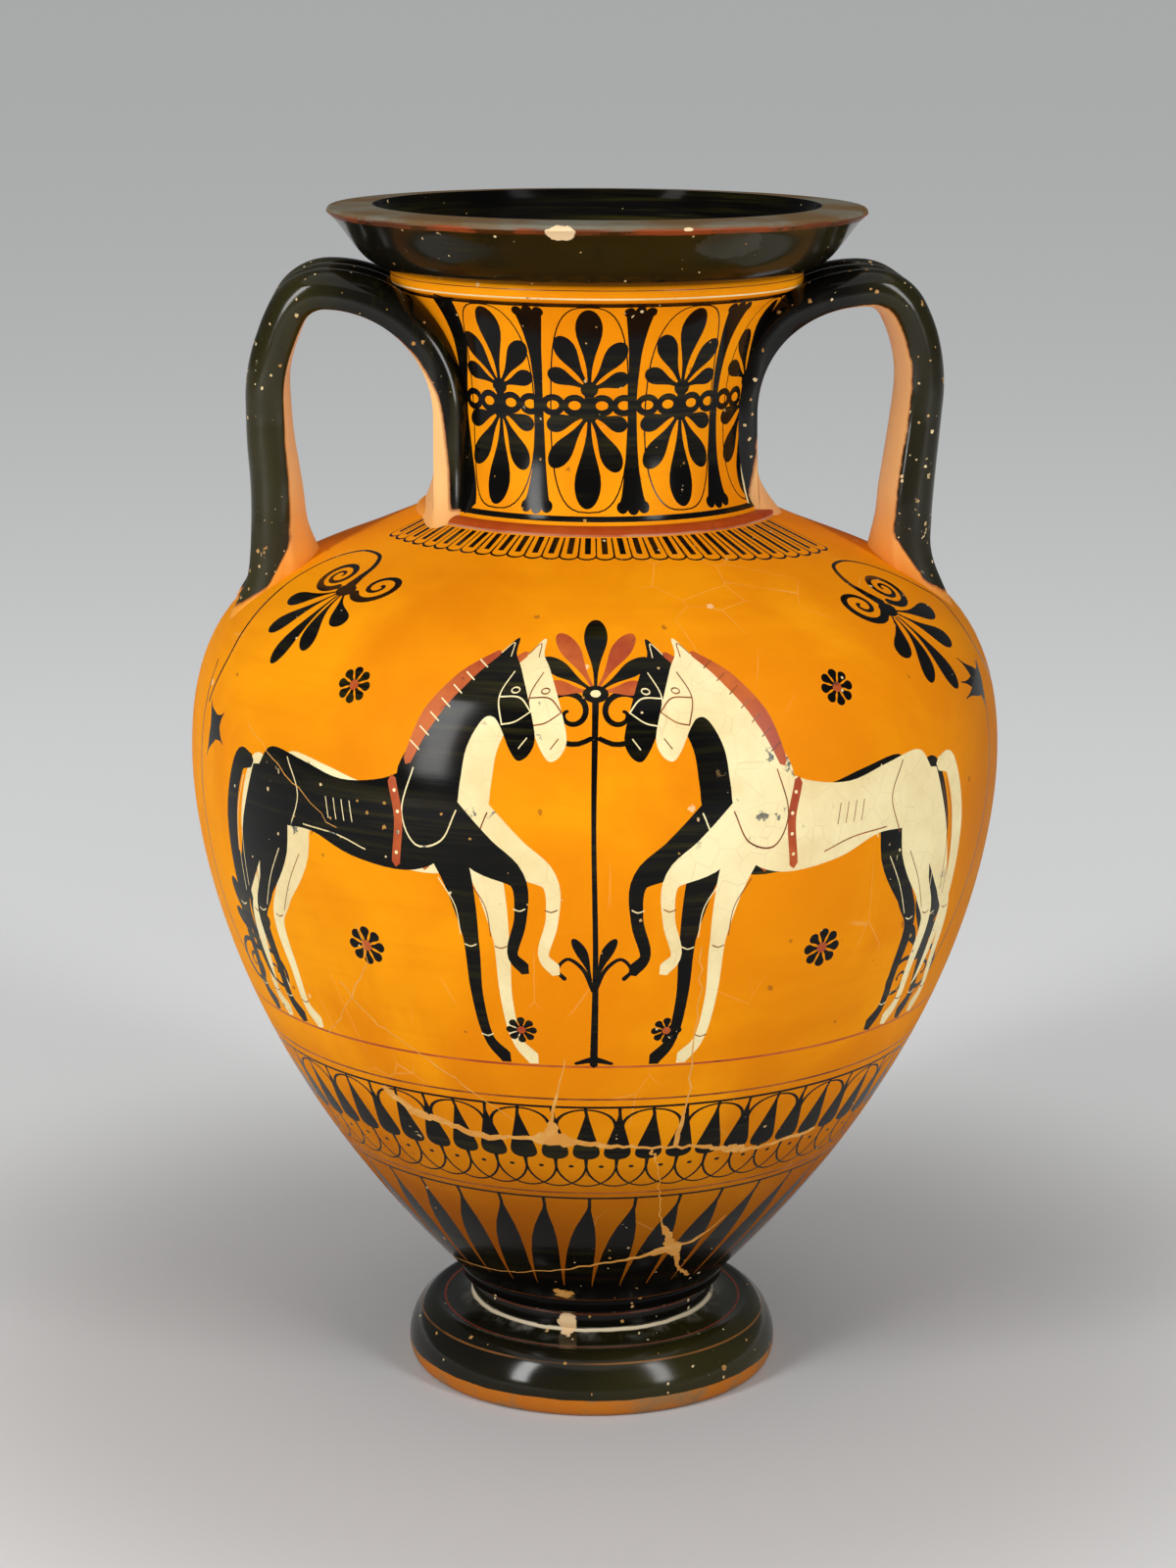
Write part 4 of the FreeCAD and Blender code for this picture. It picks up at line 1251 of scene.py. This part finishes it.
def standing_plant(painting, theta, low):
    """A stem with volutes and a palmette at its top, between two horses."""
    def put(shape, colour=BLACK, mirror=False):
        painting.put(colour, shape, theta, low, mirror=mirror)

    put(stroke(((0, 0), (0.4, 42), (-0.4, 88), (0, 130)), [2.6, 1.8, 1.6, 2.2], 8))
    put(stroke(((-6, 0.8), (0, 2.4), (6, 0.8)), [1.2, 2.8, 1.2], 4))
    for mirror in (False, True):
        put(spiral((8.2, 124), (1.2, 116), 0.9, 1.5, [1.6, 2.2, 1.8, 1.0]), mirror=mirror)
        put(stroke(((0.2, 30), (3.5, 38), (8.5, 42), (12, 38), (9.5, 34.5)), [1.6, 1.4, 1.2, 1.2, 1.6], 6),
            mirror=mirror)
        put(frond((1.0, 34), (7.0, 49.5), 3.8, 0.06, 0.8), mirror=mirror)
    for turn, size, width in ((0, 30, 7.6), (27, 26, 6.6), (-27, 26, 6.6), (54, 21, 6.0), (-54, 21, 6.0),
                              (82, 16, 5.2), (-82, 16, 5.2)):
        leaf = frond((0, 2.2), (0, size), width, 0, 1.1)
        painting.put(BLACK if turn % 54 == 0 else RED, leaf, theta, low + 131, turn)
    painting.put(BLACK, oval((0, 0), 8.5, 6.0, 14), theta, low + 130.5)
    painting.put(CREAM, oval((0, 0.2), 3.4, 2.6, 10), theta, low + 130.5)


def paint_frieze(painting):
    """Two pairs of horses face to face on each side of the body, a standing plant between them."""
    low = painting.up_to(FRIEZE_FLOOR) + 0.6
    for half_turn in HALF_TURNS:
        standing_plant(painting, half_turn, low)
        for theta, mirror, near, far in ((-35.5, False, BLACK, CREAM), (35.5, True, CREAM, BLACK)):
            shift = -4.2 if mirror else 4.2
            for angle, slot in ((theta + shift, far), (theta, near)):
                horse(painting, angle + half_turn, low, slot, BROWN if slot == CREAM else CREAM, mirror)
        for theta, up, size in ((-33, 40, 1.1), (33, 40, 1.1), (-36, 128, 1.0), (36, 128, 1.0),
                                (-10.5, 14, 0.8), (10.5, 14, 0.8)):
            rosette(painting, theta + half_turn, low + up, size)


# Mended breaks: angles in degrees and lengths up the profile in millimetres, and their widths
CRACKS = (
    (((-39.6, 169), (-36, 157), (-28.7, 146), (-21.3, 134), (-13.9, 120)), (0.5, 0.4, 0.5, 0.4)),
    (((-37.6, 125), (-32.7, 117), (-27.2, 114), (-20, 110), (-13, 110.5), (-7.5, 111), (-0.7, 109), (8, 107),
      (17.3, 105.5), (24, 103), (28, 101), (33, 100), (46.4, 102)),
     (2.6, 3.8, 3.0, 2.6, 1.7, 6.0, 2.6, 1.3, 1.3, 2.0, 3.8, 1.8, 2.0)),
    (((-34.5, 193), (-33.6, 179), (-39, 160), (-46.1, 144)), (0.3, 0.4, 0.3)),
    (((14.6, 190), (15.0, 163), (15.3, 130), (14.8, 107)), (0.35, 0.4, 0.7, 1.6)),
    (((-7, 113), (-6.5, 124), (-4.5, 148)), (4.5, 1.2, 0.4)),
    (((10.5, 105), (12.0, 98), (14.0, 80), (16.0, 66), (19.5, 54), (22.0, 46)), (0.9, 0.35, 0.3, 0.5, 2.6, 3.6)),
    (((-69, 42), (-67, 23), (-36.9, 25), (-13.3, 32), (-0.9, 37), (12.9, 42), (21.8, 46), (29, 50), (34.2, 62)),
     (0.5, 0.5, 0.5, 0.6, 0.9, 1.6, 5.0, 1.4, 0.5)),
    (((21.8, 48), (25, 40), (29, 30), (36.1, 22)), (5.0, 2.6, 1.2, 1.4)),
    (((-56, 253), (-45.6, 240), (-36.4, 225)), (0.25, 0.35, 0.25)),
    (((-13.4, 17.0), (-10.6, 14.4), (-7.8, 16.0)), (3.4, 6.4, 2.6)),
)


def paint_cracks(painting, random_source):
    """Mended breaks, as unsteady lines of filling."""
    for line, widths in CRACKS:
        line = smooth_line(line, 7)
        line = line + np.array([(random_source.uniform(-0.35, 0.35), random_source.uniform(-0.7, 0.7)) for _ in line])
        angle, length_up = line[len(line) // 2]
        radius = painting.radius(line[:, 1])
        flat = np.stack([np.radians(line[:, 0] - angle) * radius, line[:, 1] - length_up], 1)
        uneven = [width * random_source.uniform(0.8, 1.2) for width in np.repeat(widths, 3)]
        painting.put(FILL, stroke(flat, uneven, 1), angle, length_up)


# A strap's bends at the neck, over the crown and outside, as shares of its span, and the heights of its ends
HANDLE_BENDS = (0.678, 0.237, 0.946)
HANDLE_START = SHOULDER - 2.6
HANDLE_END = 262

# Where the outer rolls end on the inner face, and how far that face swells in, laps over the neck, and is
# lapped by the black slip
CORNER = math.radians(124)
FACE_SWELL = 0.6
NECK_LAP = 0.4
SLIP_LAP = 0.4

# How far along its first leg a strap lies on the neck
NECK_LEG = 60


def handle_path():
    """The strap's middle line in its own upright plane, from the neck over to the shoulder: places across
    and up, the way outwards, and how far along."""
    size = Sizes("amphora_handles")
    rise = Sizes("amphora_neck").waist_radius - size.rise_inset
    fall = BODY_RADIUS - size.landing_inset
    crown = NECK_TOP - size.crown_drop
    neck_bend, crown_bend, outer_bend = [share * (fall - rise) for share in HANDLE_BENDS]
    points = [(rise, z) for z in np.linspace(HANDLE_START, crown - neck_bend, 16)[:-1]]
    normals = [(-1.0, 0.0)] * len(points)
    centre = (rise + neck_bend, crown - neck_bend)
    across = fall - outer_bend - centre[0]
    down = math.sqrt((outer_bend - crown_bend) ** 2 - across ** 2)
    crown_centre = (centre[0], crown - crown_bend)
    outer_centre = (fall - outer_bend, crown_centre[1] - down)
    meeting = math.atan2(down, -across)
    lean = size.group.lean
    for middle, radius, first, last, count in (
            (centre, neck_bend, math.pi, math.pi / 2, 40), (crown_centre, crown_bend, math.pi / 2, meeting, 12),
            (outer_centre, outer_bend, meeting, -lean, 44)):
        for a in np.linspace(first, last, count)[:-1]:
            points.append((middle[0] + radius * math.cos(a), middle[1] + radius * math.sin(a)))
            normals.append((math.cos(a), math.sin(a)))
    low = (outer_centre[0] + outer_bend * math.cos(-lean), outer_centre[1] + outer_bend * math.sin(-lean))
    for z in np.linspace(low[1], HANDLE_END, 34):
        points.append((low[0] - (low[1] - z) * math.tan(lean), z))
        normals.append((math.cos(lean), -math.sin(lean)))
    points, normals = np.array(points), np.array(normals)
    along = np.concatenate([[0], np.cumsum(np.hypot(*np.diff(points, axis=0).T))])
    return points, normals, along


def handle_section(pitch, radius, middle, web):
    """Across a strap: how far out and to the side each place is, first round the three rolls, then back
    over the inner face. Middle is how far out the rolls' middles are, and web thickens the inner face."""
    valley = min(math.asin(min(pitch / 2 / radius, 1)), math.radians(78))
    places = []
    for k, (low, high, count) in enumerate(((-CORNER, valley, 28), (-valley, valley, 17), (-valley, CORNER, 28))):
        for a in np.linspace(low, high, count):
            places.append((middle + radius * math.cos(a), (k - 1) * pitch + radius * math.sin(a)))
    first, last = places[-1], places[0]
    flat = [(first[0] + (last[0] - first[0]) * t - (FACE_SWELL + web) * math.sin(math.pi * t) ** 0.55,
             first[1] + (last[1] - first[1]) * t) for t in (1 - np.cos(np.linspace(0, math.pi, 21)[1:-1])) / 2]
    return np.array(places + flat), len(places)


# How the left strap (-1) and the right one (1) differ from a plain strap: places along it and millimetres.
# Those of the lift, the low web and the root's spread are counted from its lower end
SPREAD = {
    -1: ((0, 10, 22, 34, 47, 55, 68, 82, 95, 110, 130, 160), (11.5, 11, 9.8, 9.7, 9.5, 9.2, 9.4, 9.4, 8.5, 6, 3, 0)),
    1: ((0, 13, 27, 38, 48, 59, 70, 82, 95, 110, 130, 160), (0, 0.5, 1.5, 2.2, 2.2, 1.5, 2.5, 5, 6, 4, 1.5, 0)),
}
LIFT = {
    -1: ((0, 12, 21, 25, 29.7, 35, 40.5, 49, 66, 78, 95, 115),
         (14, 12.5, 10, 7.3, 5.0, 3.6, 2.8, 2.0, 1.3, 1.6, 1.1, 0)),
    1: ((0, 15, 21, 27, 32, 37, 43, 50, 66, 80, 95, 115),
        (12, 9.5, 8.0, 4.8, 2.3, 0, -1.5, -1.75, -1.6, -1.1, -0.6, 0)),
}
LOW_WEB = {
    -1: ((0, 30, 38, 45, 60, 100), (18, 14, 9.5, 6, 3.4, 0)),
    1: ((0, 30, 38, 45, 60, 85, 120, 150, 175), (16, 12, 7, 4, 2.6, 2.0, 2.6, 2.2, 0)),
}
HIGH_WEB = {
    -1: ((0, 4, 7, 11, 17, 30, 50, 70), (5.5, 3.4, 1.6, -0.2, -1, -1, -1, 0)),
    1: ((0, 5, 10, 15, 20, 27.5, 60, 100, 115), (11, 7, 3.6, 1.4, 0.2, -0.8, -0.8, -0.8, 0)),
}
BARE = {
    -1: ((0, 20, 32, 55, 80), (6.6, 6.0, 5.0, 2.0, 0)),
    1: ((0, 13, 22, 30, 60), (5, 3.5, 1.5, 0.5, 0)),
}
ROOT_SPREAD = ((0, 12, 24, 40), (5, 3.2, 1.2, 0))
THINNER = {-1: ((0, 1), (0, 0)), 1: ((0, 40, 90, 150, 190), (0.3, 0.7, 1.0, 1.0, 0))}
NECK_LIFT = {-1: ((0, 1), (0, 0)), 1: ((0, 60, 100), (1.2, 1.2, 0))}

# Where the slip ends: its height at the lower root, its two slopes there, and its height on the neck, and the
# radii from which the slopes are counted
SLIP_ENDS = {-1: (283, 0.64, 1.3, 319.5), 1: (285.8, 0.5, 0.9, 313.5)}
SLIP_OUTSIDE, SLIP_BEND = 127, 114
ROOT_LEG = 90

# How many losses the slip of each strap has, and how thin it is
CHIPS = {-1: 1.4, 1: 2.6}
OLIVE = {-1: 0.9, 1: 0.5}


def ramp(value, at, heights):
    """A smooth curve through the heights."""
    if value <= at[0] or value >= at[-1]:
        return float(heights[0] if value <= at[0] else heights[-1])
    k = int(np.searchsorted(at, value)) - 1
    span = at[k + 1] - at[k]
    t = (value - at[k]) / span
    low, high = np.gradient(heights, at)[k:k + 2] * span
    return float((2 * t ** 3 - 3 * t ** 2 + 1) * heights[k] + (t ** 3 - 2 * t ** 2 + t) * low
                 + (3 * t ** 2 - 2 * t ** 3) * heights[k + 1] + (t ** 3 - t ** 2) * high)


def slip_edge(side, at, to_end, across, up, round_at, rolls, whole):
    """How far inside the edge of the black slip a place on a strap is. Less than nought is bare clay. At and
    to_end are along the strap, and round_at is round it, where the rolls come before the inner face."""
    if round_at <= rolls:
        edge = min(round_at, rolls - round_at) + SLIP_LAP - ramp(at, *BARE[side])
    else:
        edge = SLIP_LAP - min(round_at - rolls, whole - round_at)
    low, slope, bend, neck_end = SLIP_ENDS[side]
    root = up - (low + slope * (SLIP_OUTSIDE - across) + bend * max(0, SLIP_BEND - across))
    return min(edge, root if to_end < ROOT_LEG else up - neck_end)


def make_handle(name, side):
    """Sweep one strap. Each vertex keeps how far inside the edge of the slip it is."""
    size = Sizes("amphora_handles")
    points, normals, along = handle_path()
    neck = neck_outside()
    bm = bmesh.new()
    slip = bm.verts.layers.float.new("slip")
    loops = []
    for (x, z), (out_x, out_z), at in zip(points, normals, along):
        to_end = along[-1] - at
        pitch = size.roll_pitch + ramp(at, *SPREAD[side]) + ramp(to_end, *ROOT_SPREAD)
        radius = size.roll_radius - ramp(at, *THINNER[side])
        middle = size.thickness / 2 - radius + ramp(to_end, *LIFT[side]) + ramp(at, *NECK_LIFT[side])
        web = ramp(to_end, *LOW_WEB[side]) + ramp(at, *HIGH_WEB[side])
        if at < NECK_LEG:
            inner_face = x - (middle + radius * math.cos(CORNER)) + FACE_SWELL
            web = max(web, float(np.interp(z, neck[:, 1], neck[:, 0])) + NECK_LAP - inner_face)
        section, covered = handle_section(pitch, radius, middle, web)
        steps = np.hypot(*np.diff(np.vstack([section, section[:1]]), axis=0).T)
        round_to = np.concatenate([[0], np.cumsum(steps)])
        loop = []
        for (out, wide), round_at in zip(section, round_to):
            across, up = x + out_x * out, z + out_z * out
            vert = bm.verts.new(Vector((across * side, wide, up)) * MM)
            vert[slip] = slip_edge(side, at, to_end, across, up, round_at, round_to[covered - 1], round_to[-1])
            loop.append(vert)
        loops.append(loop)
    for low, high in zip(loops, loops[1:]):
        for k in range(len(low)):
            after = (k + 1) % len(low)
            corners = (low[k], low[after], high[after], high[k])
            bm.faces.new(corners if side < 0 else corners[::-1])
    for loop in (loops[0], loops[-1]):
        middle = bm.verts.new(sum((vert.co for vert in loop), Vector()) / len(loop))
        middle[slip] = 1.0
        for vert, after in zip(loop, loop[1:] + loop[:1]):
            bm.faces.new((vert, after, middle))
    bmesh.ops.recalc_face_normals(bm, faces=bm.faces)
    material = handle_material(name.replace("_", " ") + " slip", CHIPS[side], OLIVE[side])
    return piece_of(name, bm, [material], HANDLE_SMOOTH)


class MakeFoot(bpy.types.Operator):
    """Turn the foot and the ring of clay that joins it to the body"""
    bl_idname = "amphora.make_foot"
    bl_label = "Foot and foot ring"

    def execute(self, context):
        size = Sizes("amphora_foot")
        hub = size.joint_radius - size.hub_inset
        rest = FOOT_RADIUS - size.edge_inset
        profile = outline(
            (rest - size.rest_width, GROUND), (rest, GROUND),
            ((FOOT_RADIUS, size.widest), FOOT_EDGE_SHARES, 10),
            ((FOOT_RADIUS - size.roll_inset, FOOT_TOP - size.dish_rise), FOOT_ROLL_SHARES, 24),
            ((size.joint_radius, FOOT_TOP), FOOT_DISH_SHARES, 16),
            (hub, FOOT_TOP), (hub, HUB_TOP), (0, HUB_TOP))
        hollow = outline(
            (0, GROUND + size.hollow_depth), (rest - size.rest_width - size.hollow_slope, GROUND + size.hollow_depth),
            (rest - size.rest_width, GROUND))
        profile = np.vstack([hollow, profile[1:]])
        add_piece(turned_piece("Foot", profile, [foot_material()]), "foot")
        body_base = Sizes("amphora_body").base_radius
        ring_profile = outline((hub, FOOT_TOP), (size.joint_radius, FOOT_TOP),
                               ((body_base, BODY_FOOT), RING_SHARES, 12), (hub, BODY_FOOT), (hub, FOOT_TOP))
        add_piece(turned_piece("Foot_ring", ring_profile, [ring_material()]), "foot_ring")
        return {"FINISHED"}


class MakeBody(bpy.types.Operator):
    """Turn the body and paint it"""
    bl_idname = "amphora.make_body"
    bl_label = "Body"

    def execute(self, context):
        size = Sizes("amphora_body")
        random_source = random.Random(BODY_SEED)
        painting = Painting(body_outside())
        paint_body(painting, size, random_source)
        paint_frieze(painting)
        paint_cracks(painting, random_source)
        underside = np.array([(0.0, BODY_FOOT), (size.base_radius * 0.8, BODY_FOOT), (size.base_radius, BODY_FOOT)])
        body = painted_piece("Body", painting, [body_inside(), underside],
                             skin_materials(("Bare clay inside", inside_coat, 0.1), 0.1))
        add_piece(body, "body")
        return {"FINISHED"}


class MakeNeck(bpy.types.Operator):
    """Turn the neck and paint it"""
    bl_idname = "amphora.make_neck"
    bl_label = "Neck"

    def execute(self, context):
        painting = Painting(neck_outside())
        paint_neck(painting, Sizes("amphora_neck"), random.Random(NECK_SEED))
        neck = painted_piece("Neck", painting, [neck_inside()],
                             skin_materials(("Black slip inside", slip_coat, 0.05), 0.12))
        add_piece(neck, "neck")
        return {"FINISHED"}


class MakeCollar(bpy.types.Operator):
    """Turn the collar round the neck's foot"""
    bl_idname = "amphora.make_collar"
    bl_label = "Collar"

    def execute(self, context):
        base = Sizes("amphora_neck").base_radius
        profile = outline((base, SHOULDER), (COLLAR_RADIUS, SHOULDER),
                          ((base, COLLAR_TOP), COLLAR_SHARES, 12), (base, SHOULDER))
        collar = turned_piece("Collar", profile, [collar_material()])
        add_piece(collar, "collar")
        return {"FINISHED"}


class MakeMouth(bpy.types.Operator):
    """Turn the mouth"""
    bl_idname = "amphora.make_mouth"
    bl_label = "Mouth"

    def execute(self, context):
        size = Sizes("amphora_mouth")
        neck = Sizes("amphora_neck")
        base = neck.top_radius + neck.band_swell
        throat = neck.top_radius - neck.wall
        lip = RIM - size.lip_fall
        profile = outline(
            (throat, NECK_TOP), (base, NECK_TOP),
            ((MOUTH_RADIUS, RIM - size.lip_edge), MOUTH_SHARES, 40),
            ((MOUTH_RADIUS - size.lip_round, lip), LIP_EDGE_SHARES, 8),
            (MOUTH_RADIUS - size.lip_width, RIM),
            ((throat, NECK_TOP), MOUTH_INSIDE_SHARES, 20))
        inside = simple("Mouth slip inside", lambda f: slip_coat(f, 0.5), 0.05, specular=0.02)
        mouth = turned_piece("Mouth", profile, [mouth_material(), inside])
        add_piece(mouth, "mouth")
        return {"FINISHED"}


class MakeHandles(bpy.types.Operator):
    """Shape the two handles, each of three rolls side by side"""
    bl_idname = "amphora.make_handles"
    bl_label = "Handles"

    def execute(self, context):
        add_piece(make_handle("Right_handle", 1), "handle_right")
        add_piece(make_handle("Left_handle", -1), "handle_left")
        return {"FINISHED"}


# The softboxes: name, place and power, and their size. Each is aimed at the vase's middle
SOFTBOXES = (("Left softbox", (-1.7, -1.59, 1.15), 43), ("Right softbox", (1.57, -1.72, 1.15), 31))
SOFTBOX_SIZE = (0.42, 1.7)
VASE_MIDDLE = (0, 0, 0.25)

# The floor's grey from the vase outwards: where each change begins and ends in metres, and what it leads to
# The near grey is a painted shadow round the vase, which the changes fade out to pale
FLOOR_SHADOW_GREY = (0.54, 0.54, 0.54)
FLOOR_SHADOW_FADE = ((0.17, 0.4, (0.85, 0.855, 0.85)), (0.45, 1.2, (0.93, 0.935, 0.93)), (1.0, 12.0, (0.92, 0.925, 0.92)))

# The light from above, with its spread and tilt in degrees, and the sky
CEILING_POWER, CEILING_SPREAD, CEILING_TILT = 0.95, 75, 12
SKY, SKY_POWER = (0.8, 0.82, 0.84, 1), 0.19

# The floor's side and the nearest thing the camera sees, in metres, and its frame's height in millimetres
FLOOR_SIDE, NEAREST = 240, 0.05
FRAME_HEIGHT = 36


class MakeStage(bpy.types.Operator):
    """Set the floor, the soft lights and the camera"""
    bl_idname = "amphora.make_stage"
    bl_label = "Stage"

    def execute(self, context):
        choose_none()
        bpy.ops.mesh.primitive_plane_add(size=FLOOR_SIDE, location=(0, 0, 0))
        floor = context.object
        floor.name = "Floor"
        f = Finish("Pale floor")
        # Painted shadow: the floor is a darker grey round the vase and fades to pale further out
        far, tone = reach(f), FLOOR_SHADOW_GREY
        for start, end, grey in FLOOR_SHADOW_FADE:
            tone = f.blend(f.ease(far, start, end), tone, grey)
        floor.data.materials.append(f.close((tone, 0.85, 0.0), 0.0))
        for name, location, power in SOFTBOXES:
            bpy.ops.object.light_add(type="AREA", location=location)
            lamp = context.object
            lamp.name = name
            lamp.data.shape = "RECTANGLE"
            lamp.data.size, lamp.data.size_y = SOFTBOX_SIZE
            lamp.data.energy = power
            lamp.rotation_euler = (Vector(VASE_MIDDLE) - Vector(location)).to_track_quat("-Z", "Y").to_euler()
        bpy.ops.object.light_add(type="SUN", location=(0, 0, 3))
        ceiling = context.object
        ceiling.name = "Ceiling light"
        ceiling.data.energy = CEILING_POWER
        ceiling.data.angle = math.radians(CEILING_SPREAD)
        ceiling.rotation_euler = (math.radians(CEILING_TILT), 0, 0)
        world = bpy.data.worlds.new("Studio")
        context.scene.world = world
        world.use_nodes = True
        background = world.node_tree.nodes["Background"]
        background.inputs[0].default_value = SKY
        background.inputs[1].default_value = SKY_POWER
        context.scene.view_settings.view_transform = "Standard"

        stage = Sizes("amphora_stage")
        turn = math.radians(VIEW_TURN)
        camera_data = bpy.data.cameras.new("Camera")
        camera = bpy.data.objects.new("Camera", camera_data)
        context.scene.collection.objects.link(camera)
        camera_data.sensor_fit = "VERTICAL"
        camera_data.sensor_height = FRAME_HEIGHT
        camera_data.lens = stage.group.lens
        camera_data.clip_start = NEAREST
        camera.location = (Matrix.Rotation(-turn, 3, "Z") @ Vector((stage.offset, -stage.distance, stage.height))) * MM
        look = Matrix.Rotation(-turn, 4, "Z") @ Matrix.Rotation(math.pi / 2 - stage.group.tilt, 4, "X") \
            @ Matrix.Rotation(stage.group.roll, 4, "Z")
        camera.rotation_euler = look.to_euler()
        context.scene.camera = camera
        return {"FINISHED"}


class AmphoraPanel(bpy.types.Panel):
    """One button for each piece, with its sizes"""
    bl_idname = "VIEW3D_PT_amphora"
    bl_label = "Neck amphora"
    bl_space_type = "VIEW_3D"
    bl_region_type = "UI"
    bl_category = "Amphora"

    def draw(self, context):
        for operator in OPERATORS:
            self.layout.operator(operator.bl_idname)
        for name in SETTINGS:
            group = getattr(context.scene, name)
            box = self.layout.box()
            box.label(text=name.replace("_", " ").capitalize())
            for prop in group.bl_rna.properties:
                if prop.identifier not in {"rna_type", "name"}:
                    box.prop(group, prop.identifier)


OPERATORS = (MakeFoot, MakeBody, MakeNeck, MakeCollar, MakeMouth, MakeHandles, MakeStage)


def register():
    for cls in (*SETTINGS.values(), *OPERATORS, AmphoraPanel):
        bpy.utils.register_class(cls)
    for name, cls in SETTINGS.items():
        setattr(bpy.types.Scene, name, PointerProperty(type=cls))


def unregister():
    for name in SETTINGS:
        delattr(bpy.types.Scene, name)
    for cls in reversed((*SETTINGS.values(), *OPERATORS, AmphoraPanel)):
        bpy.utils.unregister_class(cls)


def main():
    register()
    for operator in OPERATORS:
        group, name = operator.bl_idname.split(".")
        getattr(getattr(bpy.ops, group), name)()


if __name__ == "__main__":
    main()
